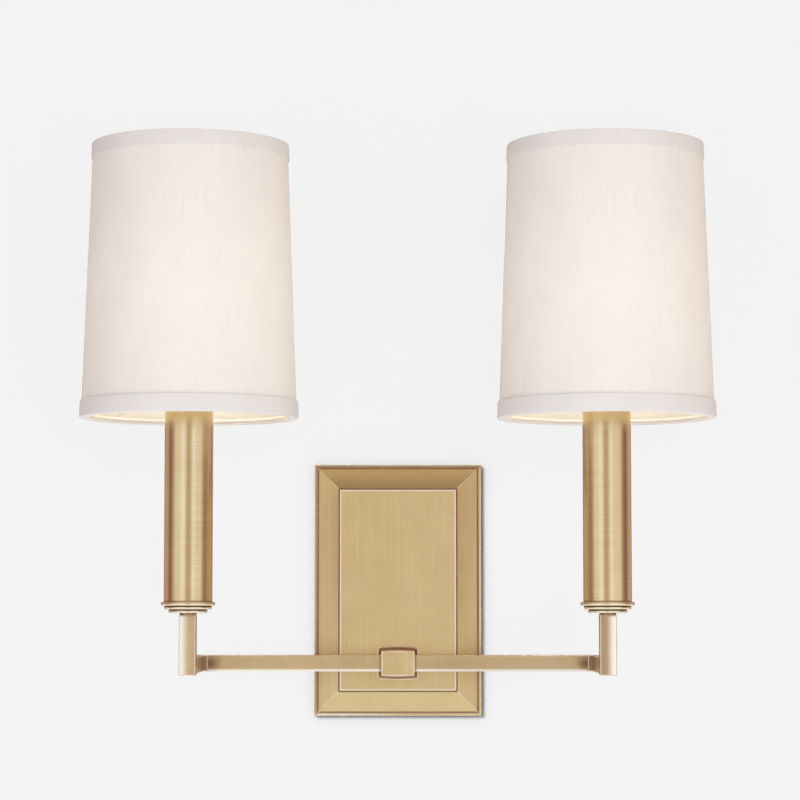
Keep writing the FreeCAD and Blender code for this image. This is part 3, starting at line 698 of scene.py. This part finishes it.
wear_brass(arm, "brass_arm", (0.3, 6, 6), arm_corners, arm_shine)
soften(arm, bar_corner, lambda p, d: abs(d.x) > 0.9 and outer_edge(p.y, -arm_depth)
       and p.z > arm_level + half_bar - 0.01)
soften(arm, 1.5, lambda p, d: abs(d.x) > 0.9 and outer_edge(p.y, -arm_depth)
       and p.z < arm_level - half_bar + 0.01, 5, edge_slot=0)
soften(arm, 0.4, joint_edges, 2)
hand_over_pair(arm, "arm", "aged_brass", mirrored=True)

# %% Elbow
post_back = -lamp_depth + half_bar
elbow = cuboid("left_elbow_tube", (-lamp_x - half_bar, -lamp_x + half_bar), arm_deep, arm_high)
with editing(elbow):
    choose(elbow, "FACE", lambda p, n: n.x > 0.9)
    bpy.ops.mesh.extrude_region_move(
        TRANSFORM_OT_translate={"value": ((lamp_x - half_bar - joint_x) * mm, 0, 0)})
    choose(elbow, "FACE", lambda p, n: n.y < -0.9 and p.x < -lamp_x + half_bar)
    bpy.ops.mesh.extrude_region_move(
        TRANSFORM_OT_translate={"value": (0, (post_back - arm_deep[0]) * mm, 0)})
open_tube(elbow, lambda p, n: p.x > -joint_x - 0.01 or p.y < post_back + 0.01)


def elbow_corners(x, y, z):
    """Painted shade on the bend's inner side and behind the upright, and a dark line at the joint.
    """
    inner = abs(x).fade(lamp_x - half_bar + 0.2, lamp_x - half_bar + 1.5)
    deep = (-1 * y).fade(arm_depth + half_bar + 12, arm_depth + half_bar + 55)
    joint = (abs(x) - joint_x).fade(0.1, 0.7) * 0.8
    end = (y - post_back).fade(0.0, 2.0) * 0.6
    return (inner * (0.25 + deep * 0.25)).larger(joint).larger(end)


def elbow_outline(p, d):
    """The elbow's outer edges above and below, without those of its two open ends."""
    between_ends = p.x < -joint_x - 0.01 and p.y > post_back + 0.01
    along_arm = abs(d.x) > 0.9 and (p.y > arm_deep[1] - 0.01 or abs(p.y - arm_deep[0]) < 0.01)
    along_run = abs(d.y) > 0.9 and abs(abs(p.x + lamp_x) - half_bar) < 0.01
    return outer_edge(p.z, arm_level) and between_ends and (along_arm or along_run)


wear_brass(elbow, "brass_elbow", (6, 0.3, 6), elbow_corners)
soften(elbow, bar_corner, elbow_outline)
soften(elbow, 0.4, joint_edges, 2)
hand_over_pair(elbow, "elbow", "aged_brass", mirrored=True)

# %% Upright
post = cuboid("left_upright", (-lamp_x - half_bar, -lamp_x + half_bar),
              (-lamp_depth - half_bar, post_back), (post_foot, cup_foot))
open_tube(post, lambda p, n: n.z > 0.9)


def post_corners(x, y, z):
    """Painted shade under the cup, where the elbow comes in, and along the inner edge. It is wider
    on the right upright."""
    under_cup = (cup_foot - z).fade(0.0, 1.6)
    at_elbow = (z - arm_level - half_bar).fade(0.0, 3.0) * (y + lamp_depth).fade(5.4, 4.0) * 0.5
    edge = (abs(x) - lamp_x + half_bar).fade(0.2, 1.0) * 0.35
    right = (x - lamp_x + half_bar).fade(3.0, 8.0) * x.fade(2.0, 0.0) * 0.38
    return (under_cup.larger(at_elbow) * 0.8).larger(edge).larger(right)


def post_shine(x, y, z):
    """A painted highlight on the outer side of the upright."""
    return (lamp_x + half_bar - abs(x)).fade(1.0, 7.0)


wear_brass(post, "brass_upright", (5, 5, 0.3), post_corners, post_shine)
soften(post, bar_corner, lambda p, d: abs(d.z) > 0.9 and outer_edge(p.x, -lamp_x)
       and outer_edge(p.y, -lamp_depth))
soften(post, 0.5, lambda p, d: abs(p.z - post_foot) < 0.01 and abs(d.z) < 0.1, 3)
soften(post, 0.4, lambda p, d: abs(p.z - cup_foot) < 0.01 and abs(d.z) < 0.1
       and (outer_edge(p.x, -lamp_x) or outer_edge(p.y, -lamp_depth)), 2)
hand_over_pair(post, "post", "aged_brass")

# %% [markdown]
# ## Cups and candle sleeves
# Both are turned. The cup is three rings with rounded edges that grow towards the top, and its
# spigot inside centres the sleeve. A lathe leaves fine rings, so here the brush streaks run round
# the piece. The grooves between the rings are painted dark, as painted shade, and each ring's
# lower edge gets a painted highlight.

# %% Cup
collar, ring_radii = 5.55, (12.775, 15.575, 17.775)
ring_heights = [cup_foot + rise for rise in (1.1, 3.5, 5.9)]
ring_thicknesses = (2.4, 2.4, 2.5)
beads = [bead(*ring) for ring in zip(ring_radii, ring_heights, ring_thicknesses)]
spigot, spigot_bore, cup_bore = sleeve_bore - 0.05, sleeve_bore - 2.25, 5.15
spigot_top, cup_floor = candle_foot + 4.0, cup_foot + 4.1
cup = turn("left_cup_turned", [
    (cup_bore, cup_foot), (collar - 0.1, cup_foot), (collar, cup_foot + 0.1),
    (collar, ring_heights[0]), *beads[0], *beads[1], *beads[2],
    (spigot, candle_foot), (spigot, spigot_top), (spigot_bore, spigot_top),
    (spigot_bore, cup_floor + 1.0), (spigot_bore - 1.0, cup_floor), (cup_bore, cup_floor)])


def from_axis(x, y):
    """The distance from the nearer lamp's axis."""
    off_x, off_y = abs(x) - lamp_x, y + lamp_depth
    return (off_x * off_x + off_y * off_y).root()


def cup_corners(x, y, z):
    """Painted shade in the grooves between the rings and against the sleeve's foot."""
    radius = from_axis(x, y)
    mask = abs(radius - sleeve_radius).fade(0.1, 0.8) * (candle_foot - z).fade(0.1, 0.4)
    for height, inner in zip(ring_heights, (collar, *ring_radii)):
        groove = abs(height - 0.35 - z).fade(0.3, 0.7) * (radius - inner).fade(0.3, 1.2)
        mask = mask.larger(groove * 0.8)
    return mask


def cup_shine(x, y, z):
    """A painted highlight on each ring's lower edge."""
    first, second, third = (abs(z - height - 0.7).fade(0.2, 0.6) for height in ring_heights)
    return first.larger(second).larger(third) * 0.8


wear_brass(cup, "brass_cup", (9, 9, 0.2), cup_corners, cup_shine, rough=0.20)
hand_over_pair(cup, "cup", "aged_brass")

# %% Candle sleeve
edge = [(sleeve_radius - 0.225, 0.0), (sleeve_radius - 0.065, 0.07), (sleeve_radius, 0.25)]
sleeve = turn("left_candle_sleeve", [
    (sleeve_bore, candle_foot), *((radius, candle_foot + rise) for radius, rise in edge),
    *((radius, sleeve_top - drop) for radius, drop in reversed(edge)),
    (sleeve_bore, sleeve_top)], sides=96)


def sleeve_corners(x, y, z):
    """Patina and painted shade in a thin line at the sleeve's foot."""
    return (z - candle_foot).fade(0.0, 1.4) * 0.8


wear_brass(sleeve, "brass_sleeve", (12, 12, 0.3), sleeve_corners, rough=0.17)
hand_over_pair(sleeve, "sleeve", "aged_brass")

# %% [markdown]
# ## Fabric finishes
# The shade is off-white silk with slubs, on a stiff liner that lets the lamp's light through. The
# threads follow the cloth, so its pattern reads the piece's own UV map, which is laid out in real
# size round the shade with its join at the back. Two translucent shaders, one for each tone of the
# silk, let a share of the lamp's light through; a painted glow would not answer to the lamp.


# %% UV round the shade, and the silk
def wrap_uv(piece):
    """Lays the UV map out in metres: round the shade from the front, and up."""
    layer = piece.data.uv_layers.new(name="cloth")
    mean_radius = (shade_foot_radius + shade_top_radius) / 2 * mm
    for face in piece.data.polygons:
        off = face.center - left_axis
        middle = math.atan2(off.x, -off.y)
        for loop in face.loop_indices:
            here = piece.data.vertices[piece.data.loops[loop].vertex_index].co - left_axis
            turn_here = math.atan2(here.x, -here.y) - middle
            turn_here = (turn_here + math.pi) % (2 * math.pi) - math.pi
            layer.data[loop].uv = ((middle + turn_here) * mean_radius, here.z)


def silk(name, dark, pale, passing, slub=1.0):
    """Slubbed cloth. passing is the share of light that goes through."""
    made, value = material(name)
    cloth = value.node("ShaderNodeUVMap", {"uv_map": "cloth"})
    place = value.node("ShaderNodeVectorMath", {"operation": "SCALE"}, in_0=cloth, in_3=1000.0)
    warp = value.noise(place, (0.35, 14, 1), detail=2.0)
    weft = value.noise(place, (9, 0.4, 1), detail=2.0, seed=5.0)
    slubs = value.noise(place, (0.9, 38, 1), detail=3.0, roughness=0.6, seed=11.0)
    cloud = value.noise(place, (26, 40, 1), detail=2.0, seed=2.0)
    thick = (slubs - 0.56).larger(0.0) * 6.0
    tone = 0.5 + (warp - 0.5) * 0.5 + (weft - 0.5) * 0.3 + (cloud - 0.5) * 0.8 - thick * slub
    color = value.mix(tone, dark, pale)
    normal = value.bump(warp * 0.5 + weft * 0.4 + thick, 0.35, 0.08)
    body = value.node("ShaderNodeBsdfPrincipled", Base_Color=color, Roughness=0.75,
                      Sheen_Weight=0.15, Specular_IOR_Level=0.25, Normal=normal)
    deep, light = (value.node("ShaderNodeBsdfTranslucent", Color=tint, Normal=normal)
                   for tint in (dark, pale))
    through = value.node("ShaderNodeMixShader", in_0=tone, in_1=deep, in_2=light)
    both = value.node("ShaderNodeMixShader", in_0=passing, in_1=body, in_2=through)
    value.node("ShaderNodeOutputMaterial", Surface=both)
    return made


panel_silk = silk("silk_panel", rgba(0.87, 0.84, 0.78), rgba(0.94, 0.92, 0.86), 0.19)
tape_silk = silk("silk_tape", rgba(0.78, 0.76, 0.71), rgba(0.88, 0.86, 0.82), 0.12, slub=0.3)
print("silk", len(panel_silk.node_tree.nodes), "nodes")

# %% [markdown]
# ## Shade
# The panel is one strip of lined silk, bent round and lapped at the back. It starts as a ring
# drawn up in rows, so that a slight waviness can be given to it, then gets the cloth's thickness.
# Tapes folded over both ends hide the wires.


# %% Shade panel
def shade_radius(height):
    share = (height - shade_foot) / (shade_top - shade_foot)
    return shade_foot_radius + (shade_top_radius - shade_foot_radius) * share


rows, lap_half = 26, 5.5
panel_foot, panel_top = shade_foot + 1.1, shade_top - 1.1
levels = [panel_foot + (panel_top - panel_foot) * row / rows for row in range(rows + 1)]
panel = turn("left_shade_silk", [(shade_radius(z), z) for z in levels], sides=120, closed=False)
waves = bpy.data.textures.new("waves", type="CLOUDS")
waves.noise_scale = 0.045
modify(panel, "DISPLACE", texture=waves, texture_coords="LOCAL", strength=0.35 * mm,
       mid_level=0.62)
with editing(panel):
    choose(panel, "FACE", lambda p, n: p.y > -lamp_depth and abs(p.x + lamp_x) < lap_half
           and shade_foot + 14 < p.z < shade_top - 12)
    bpy.ops.mesh.extrude_region_shrink_fatten(TRANSFORM_OT_shrink_fatten={"value": 0.35 * mm})
modify(panel, "SOLIDIFY", thickness=1.0 * mm, offset=-1)
wrap_uv(panel)
panel.data.materials.append(panel_silk)

# %% The silk as it was cut
slant = math.hypot(panel_top - panel_foot, shade_foot_radius - shade_top_radius) * mm
foot_length = 2 * math.pi * shade_radius(panel_foot) * mm
mean_length = math.pi * (shade_radius(panel_foot) + shade_radius(panel_top)) * mm
lap, turn_in = 0.01, 0.005
both_panels = hand_over_pair(panel, "shade_panel", "shade_silk", "shade")
for side, part in zip(("left", "right"), both_panels):
    foot_length + lap
    mean_length * slant
    side + "_shade_wires"
    side + "_shade_top_ring"
print("silk cut", round(mean_length / mm), "by", round(slant / mm), "mm on average")

# %% Tapes
tape, tape_lap = 1.0, 0.1
bottom_fold, bottom_inner, bottom_band = 1.1, 65.6, shade_foot + 11.4
top_fold, top_inner, top_inner_foot, top_band = 0.7, 59.05, shade_top - 6, shade_top - 9.6


def off_panel(height, out, rise=0.0):
    """A point this far outside the panel's line, moved up a little for a soft edge."""
    return shade_radius(height) + out, height + rise


bottom = turn("left_shade_bottom_tape", [
    (bottom_inner, shade_foot + 0.6), (bottom_inner + 0.2, shade_foot + 0.15),
    (bottom_inner + 0.6, shade_foot), off_panel(shade_foot, 0.45),
    off_panel(shade_foot, 0.9, 0.2), off_panel(shade_foot, bottom_fold, 0.7),
    off_panel(shade_foot + 6, bottom_fold), off_panel(bottom_band, bottom_fold, -0.45),
    off_panel(bottom_band, bottom_fold - 0.15, -0.12), off_panel(bottom_band, bottom_fold - 0.5),
    off_panel(bottom_band, tape_lap), off_panel(shade_foot + tape, tape_lap),
    (bottom_inner, shade_foot + tape)], sides=120)
top = turn("left_shade_top_tape", [
    (top_inner, top_inner_foot), (top_inner + tape, top_inner_foot),
    (top_inner + tape, shade_top - tape), off_panel(shade_top - tape, tape_lap),
    off_panel(top_band, tape_lap), off_panel(top_band, 0.5), off_panel(top_band, top_fold, 0.25),
    off_panel(shade_top - 4, top_fold), off_panel(shade_top, top_fold, -0.5),
    off_panel(shade_top, 0.55, -0.15), off_panel(shade_top, 0.2),
    (top_inner + 0.35, shade_top), (top_inner + 0.07, shade_top - 0.2),
    (top_inner, shade_top - 0.5)], sides=120)
for trim, name in ((bottom, "shade_bottom_trim"), (top, "shade_top_trim")):
    wrap_uv(trim)
    trim.data.materials.append(tape_silk)
    hand_over_pair(trim, name, "shade_tape", "shade")

# %% [markdown]
# ## Shade wires
# Under the silk, a washer sits on the sleeve's top and three wires slope down from it to the
# bottom hoop. Wire is a path with a round section, so each one is drawn as a curve and turned
# into a mesh, and the washer is a ring turned like the brass.


# %% Fitter
def wire(name, points, thickness, closed=False):
    """A wire along a path of points, in mm, made a mesh."""
    curve = bpy.data.curves.new(name, "CURVE")
    curve.dimensions = "3D"
    curve.bevel_depth, curve.bevel_resolution = thickness / 2 * mm, 3
    curve.use_fill_caps = True
    spline = curve.splines.new("POLY")
    spline.points.add(len(points) - 1)
    for place, point in zip(spline.points, points):
        place.co = (*(Vector(point) * mm), 1)
    spline.use_cyclic_u = closed
    made = bpy.data.objects.new(name, curve)
    scene.collection.objects.link(made)
    only(made)
    bpy.ops.object.convert(target="MESH")
    return bpy.context.object


def round_axis(radius, angle, height):
    """A point round the left lamp's axis."""
    return (radius * math.cos(angle) - lamp_x, radius * math.sin(angle) - lamp_depth, height)


hoop_level, hoop_radius = shade_foot + 2.6, 68.04
spoke_start, spoke_level, spoke_bend = sleeve_radius + 1.0, sleeve_top - 1.2, 27.0
hoop_wire, spoke_wire, hoop_sides = 3.0, 2.6, 72
washer_radius, washer_bore, washer_top = sleeve_radius + 5.1, 14.6, sleeve_top + 1.2
fitter = turn("left_shade_wires", [
    (washer_bore, sleeve_top), (washer_radius - 0.3, sleeve_top),
    (washer_radius, sleeve_top + 0.3), (washer_radius, washer_top - 0.3),
    (washer_radius - 0.3, washer_top), (washer_bore, washer_top)])
hoop = [round_axis(hoop_radius, 2 * math.pi * i / hoop_sides, hoop_level)
        for i in range(hoop_sides)]
spoke = [(spoke_start, spoke_level), (spoke_bend - 2.5, spoke_level),
         (spoke_bend - 1.0, spoke_level - 0.2), (spoke_bend + 0.6, spoke_level - 0.9),
         (spoke_bend + 2.5, spoke_level - 2.0), (hoop_radius, hoop_level)]
wires = [wire("hoop", hoop, hoop_wire, closed=True)]
for angle in (90, 210, 330):
    path = [round_axis(radius, math.radians(angle), height) for radius, height in spoke]
    wires.append(wire("spoke", path, spoke_wire))
only(fitter, *wires)
bpy.ops.object.join()
fitter = bpy.context.object


def enamel():
    """White enamel on wire, with small runs and chips."""
    made, value = material("white_enamel")
    here = value.place()[3]
    runs = value.noise(here, (2.5, 2.5, 5), detail=3.0)
    chips = value.noise(here, (1.1, 1.1, 1.1), detail=2.0, seed=4.0).fade(0.26, 0.30)
    color = value.mix(chips, rgba(0.84, 0.82, 0.77), rgba(0.42, 0.40, 0.37))
    surface(value, Base_Color=color, Roughness=0.32 + runs * 0.15,
            Normal=value.bump(runs, 0.25, 0.1))
    return made


white_enamel = enamel()
fitter.data.materials.append(white_enamel)
hand_over_pair(fitter, "shade_fitter", "shade_wire", "shade")

# %% [markdown]
# ## Lamps
# A lamp's glass is turned as one wall from its neck to its closed crown. It is frosted inside and
# lit, so its finish gives off a warm light that is a little stronger round the middle.

# %% Lamp glass
globe_radius, globe_centre, flank = 30.0, sleeve_top + 57.3, math.radians(38)
neck, neck_foot, neck_top = 12.5, sleeve_top - 0.7, sleeve_top + 17.3
joint_r = globe_radius * math.cos(flank)
joint_z = globe_centre - globe_radius * math.sin(flank)
profile = [(neck, neck_foot), (neck, neck_foot + 9.0), (neck, neck_top)]
neck_steps, globe_steps, neck_waist = 8, 13, 1.3
for step in range(1, neck_steps):
    share = step / neck_steps
    ease = share * share * (3 - 2 * share) * 0.55 + share * 0.45
    profile.append((neck + (joint_r - neck) * ease - neck_waist * math.sin(math.pi * share),
                    neck_top + (joint_z - neck_top) * share))
for step in range(globe_steps):
    angle = -flank + (math.pi / 2 + flank) * step / globe_steps
    profile.append((globe_radius * math.cos(angle), globe_centre + globe_radius * math.sin(angle)))
glass = turn("left_lamp_glass", profile + [(0, globe_centre + globe_radius)], sides=48,
             closed=False)
modify(glass, "SOLIDIFY", thickness=0.8 * mm, offset=-1)
lamp_strength = 4.3


def frosted():
    """Frosted glass that is lit from within."""
    made, value = material("frosted_lamp_glass")
    x, y, z, here = value.place()
    grain = value.noise(here, (0.5, 0.5, 0.5), detail=2.0)
    middle = abs(z - globe_centre).fade(0.0, 55.0)
    light = value.mix(middle, rgba(0.92, 0.79, 0.61), rgba(1.0, 0.93, 0.81))
    surface(value, Base_Color=value.mix(grain, rgba(0.86, 0.85, 0.83), rgba(0.93, 0.92, 0.90)),
            Roughness=0.35 + grain * 0.15, Emission_Color=light, Emission_Strength=lamp_strength)
    return made


glass.data.materials.append(frosted())
hand_over_pair(glass, "bulb_glass", "frosted_glass", "bulb")

# %% [markdown]
# ## Pieces kept from the measured model
# The strap, screws, stems and sockets already have their right shape, and most of them are hidden
# inside. They keep their meshes and get finishes of their own, since the back and the underside
# are looked at too.


# %% Finishes for small metal and moulded pieces
def small_metal(name, dark, pale, rough, span, depth=0.3):
    """Plated or rolled metal. span is the length of its marks on each axis."""
    made, value = material(name)
    here = value.place()[3]
    fine = value.noise(here, span, detail=3.0)
    cloud = value.noise(here, (5, 5, 5), detail=2.0, seed=6.0)
    color = value.mix(fine * 0.5 + cloud * 0.5, rgba(*dark), rgba(*pale))
    surface(value, Base_Color=color, Metallic=1.0, Roughness=rough + fine * 0.15,
            Normal=value.bump(fine, depth, 0.03))
    return made


def moulded(name, dark, pale, rough):
    """Pressed plastic or glass, with a faint flow in it."""
    made, value = material(name)
    here = value.place()[3]
    grain = value.noise(here, (0.6, 0.6, 0.6), detail=3.0)
    flow = value.noise(here, (9, 9, 14), detail=2.0, seed=8.0)
    color = value.mix(flow * 0.7 + grain * 0.3, rgba(*dark), rgba(*pale))
    surface(value, Base_Color=color, Roughness=rough + grain * 0.15,
            Normal=value.bump(grain, 0.2, 0.05))
    return made


metals = {
    "zinc_plated_steel": ("zinc_plate", (0.44, 0.45, 0.47), (0.66, 0.66, 0.64), 0.3, (0.4, 4, 4)),
    "green_screw": ("green_zinc", (0.03, 0.22, 0.07), (0.07, 0.40, 0.15), 0.35, (0.5, 0.5, 0.5)),
    "socket_brass": ("rolled_brass", (0.58, 0.42, 0.18), (0.76, 0.60, 0.32), 0.25, (4, 4, 0.4)),
    "lamp_solder": ("solder", (0.45, 0.45, 0.46), (0.68, 0.68, 0.68), 0.35, (0.8, 0.8, 0.8), 0.5),
    "lamp_cap": ("rolled_cap", (0.60, 0.60, 0.60), (0.80, 0.80, 0.79), 0.25, (4, 4, 0.5)),
}
mouldings = {
    "socket_phenolic": ("cream_phenolic", (0.66, 0.61, 0.50), (0.80, 0.76, 0.66), 0.4),
    "lamp_insulator": ("black_glass", (0.010, 0.008, 0.012), (0.03, 0.026, 0.036), 0.12),
}
finishes = {"shade_wire": white_enamel}
finishes.update((slot, small_metal(*recipe)) for slot, recipe in metals.items())
finishes.update((slot, moulded(*recipe)) for slot, recipe in mouldings.items())
kept = 0
for part in frame["record"]["subparts"]:
    node = frame["nodes"][part["node"]]
    if not node.hide_render:
        for place in node.material_slots:
            place.material = finishes[part["material_slot"]]
        kept += 1
print(kept, "nodes keep their measured shape")

# %% [markdown]
# ## Room, light and camera
# Brass shows what stands round it, so the light stands in a round tent of white cloth, as for a
# photograph of metal. The tent has two tall bright strips in front and is darker between and
# beside them, which gives the round sleeves their bands. The camera doesn't see it, and it stops
# no lamp. The wall behind is painted dark and has two strong far lamps of its own, a narrow and
# a wide one. So it shows only their light, and the shadow that lies close to the plate.


# %% Wall and floor
def backdrop(name, size, location, rotation, finish):
    """A large plane round the light, which belongs to the room and not to the piece."""
    plane = primitive("plane", name, size=size, location=location, rotation=rotation)
    plane.data.materials.append(finish)
    return plane


def one_sided(value, finish):
    """Ends a material that is see-through from behind, so that it never stands in a view."""
    gone = value.node("ShaderNodeBsdfTransparent")
    behind = value.node("ShaderNodeNewGeometry", output=6)
    value.node("ShaderNodeOutputMaterial",
               Surface=value.node("ShaderNodeMixShader", in_0=behind, in_1=finish, in_2=gone))


def wall_paint():
    """Dark paint, for a wall with lamps of its own."""
    made, value = material("wall_paint")
    one_sided(value, value.node("ShaderNodeBsdfDiffuse", Color=rgba(0.08, 0.08, 0.08)))
    return made


def floor_paper():
    """Pale paper that stays pale where it is seen, however little light falls on it."""
    made, value = material("floor_paper")
    paper = value.node("ShaderNodeBsdfDiffuse", Color=pale)
    glow = value.node("ShaderNodeEmission", Color=pale, Strength=1.0)
    camera_ray, glossy, clear = (value.node("ShaderNodeLightPath", output=i) for i in (0, 3, 6))
    seen = camera_ray.larger(glossy).larger(clear)
    one_sided(value, value.node("ShaderNodeMixShader", in_0=seen * 0.85, in_1=paper, in_2=glow))
    return made


pale = rgba(0.905, 0.905, 0.905)
wall = backdrop("wall", 4, (0, 0.0006, 0), (math.pi / 2, 0, 0), wall_paint())
floor = backdrop("floor", 8, (0, 0, -0.45), (0, 0, 0), floor_paper())
wall.visible_diffuse = wall.visible_glossy = wall.visible_shadow = False
wall.visible_transmission = floor.visible_diffuse = False
print("wall", wall.dimensions.x, "m and floor", floor.dimensions.x, "m wide")


# %% Tent
def tent_cloth():
    """The cloth's light by the angle round from the front, in degrees, and by height."""
    made, value = material("tent_cloth")
    x, y, z, here = value.place()
    around = value.sum("ARCTAN2", x, -1 * y) / (2 * math.pi) + 0.5
    white, cream, tan = (1.22, 1.34, 1.70), (1.02, 1.02, 1.08), (0.82, 0.72, 0.68)
    amber, middle, beside = (0.69, 0.53, 0.50), (0.64, 0.54, 0.46), (0.55, 0.40, 0.38)
    dusk, dark = (0.44, 0.28, 0.27), (0.27, 0.13, 0.12)
    strips = [(-180, beside), (-146, dusk), (-134, beside), (-110, amber), (-99, beside),
              (-90, dark), (-79, dusk), (-72, beside), (-66, tan), (-59, cream), (-40, cream),
              (-31, white), (-21, white), (-16, cream), (-12, tan), (-8, middle), (3, middle),
              (8, tan), (12, cream), (17, white), (23, white), (31, cream), (58, cream),
              (65, tan), (70, beside), (77, dusk), (88, dark), (97, dusk), (106, amber),
              (130, amber), (143, dusk), (180, beside)]
    stops = [(angle / 360 + 0.5, light) for angle, light in strips]
    sides = value.node("ShaderNodeValToRGB", {"stops": stops}, Fac=around)
    rise = z / (tent_radius / mm)
    with_roof = value.mix(rise.fade(0.85, 0.25), sides, rgba(0.60, 0.47, 0.40))
    with_ground = value.mix((-1 * rise).fade(0.8, 0.2), with_roof, rgba(1.42, 1.42, 1.45))
    value.node("ShaderNodeOutputMaterial",
               Surface=value.node("ShaderNodeEmission", Color=with_ground, Strength=1.0))
    return made


tent_radius = 1.3
tent = primitive("uv_sphere", "tent", segments=96, ring_count=48, radius=tent_radius)
tent.data.materials.append(tent_cloth())
tent.visible_camera = tent.visible_shadow = False
print("tent", len(tent.data.polygons), "faces")

# %% Wall lamps and the plate's shadow
lit_by_lamps = bpy.data.collections.new("lit_by_wall_lamps")
lit_by_lamps.objects.link(wall)
throws_shadow = bpy.data.collections.new("throws_shadow_on_wall")
throws_shadow.objects.link(plate)


def wall_lamp(name, brightness, spread, down, right):
    """A far lamp for the wall alone. Its angles are in degrees from straight ahead."""
    bpy.ops.object.light_add(type="SUN", rotation=(math.radians(90 - down), 0,
                                                   math.radians(-right)))
    lamp = bpy.context.object
    lamp.name = name
    facing = Vector((0, 1, 0)).dot(lamp.matrix_world.to_quaternion() @ Vector((0, 0, -1)))
    lamp.data.energy = brightness * math.pi / facing
    lamp.data.angle = math.radians(spread)
    lamp.light_linking.receiver_collection = lit_by_lamps
    lamp.light_linking.blocker_collection = throws_shadow
    print(name, round(lamp.data.energy, 2))


wall_lamp("narrow_wall_lamp", 7.6, 17, 11, 14)
wall_lamp("wide_wall_lamp", 10.4, 88, 6, 5)

# %% Soft front light
bpy.ops.object.light_add(type="AREA", location=(1.1, -2.6, 0.4))
front = bpy.context.object
front.name = "front_light"
front.rotation_euler = (Vector((0, 0, 0.1)) - front.location).to_track_quat("-Z", "Y").to_euler()
front.data.size, front.data.energy, front.data.color = 1.6, 15.5, (1.0, 0.98, 0.87)
front.visible_glossy = False

# %% World, camera and colour
world = scene.world or bpy.data.worlds.new("studio")
scene.world = world
world.use_nodes = True
background = world.node_tree.nodes["Background"]
background.inputs["Color"].default_value = pale
background.inputs["Strength"].default_value = 1.0

eye, aim = Vector((0.0014, -1.835, -0.0092)), Vector((0.0014, -0.095, 0.1240))
bpy.ops.object.camera_add(location=eye, rotation=(aim - eye).to_track_quat("-Z", "Y").to_euler())
camera = bpy.context.object
camera.data.lens, camera.data.sensor_width = 119.57, 36.0
camera.data.clip_start = 0.01
camera.data.dof.use_dof = False
scene.camera = camera
scene.view_settings.view_transform = "Standard"
print("camera", round((aim - eye).length, 3), "m from the lamps' plane")
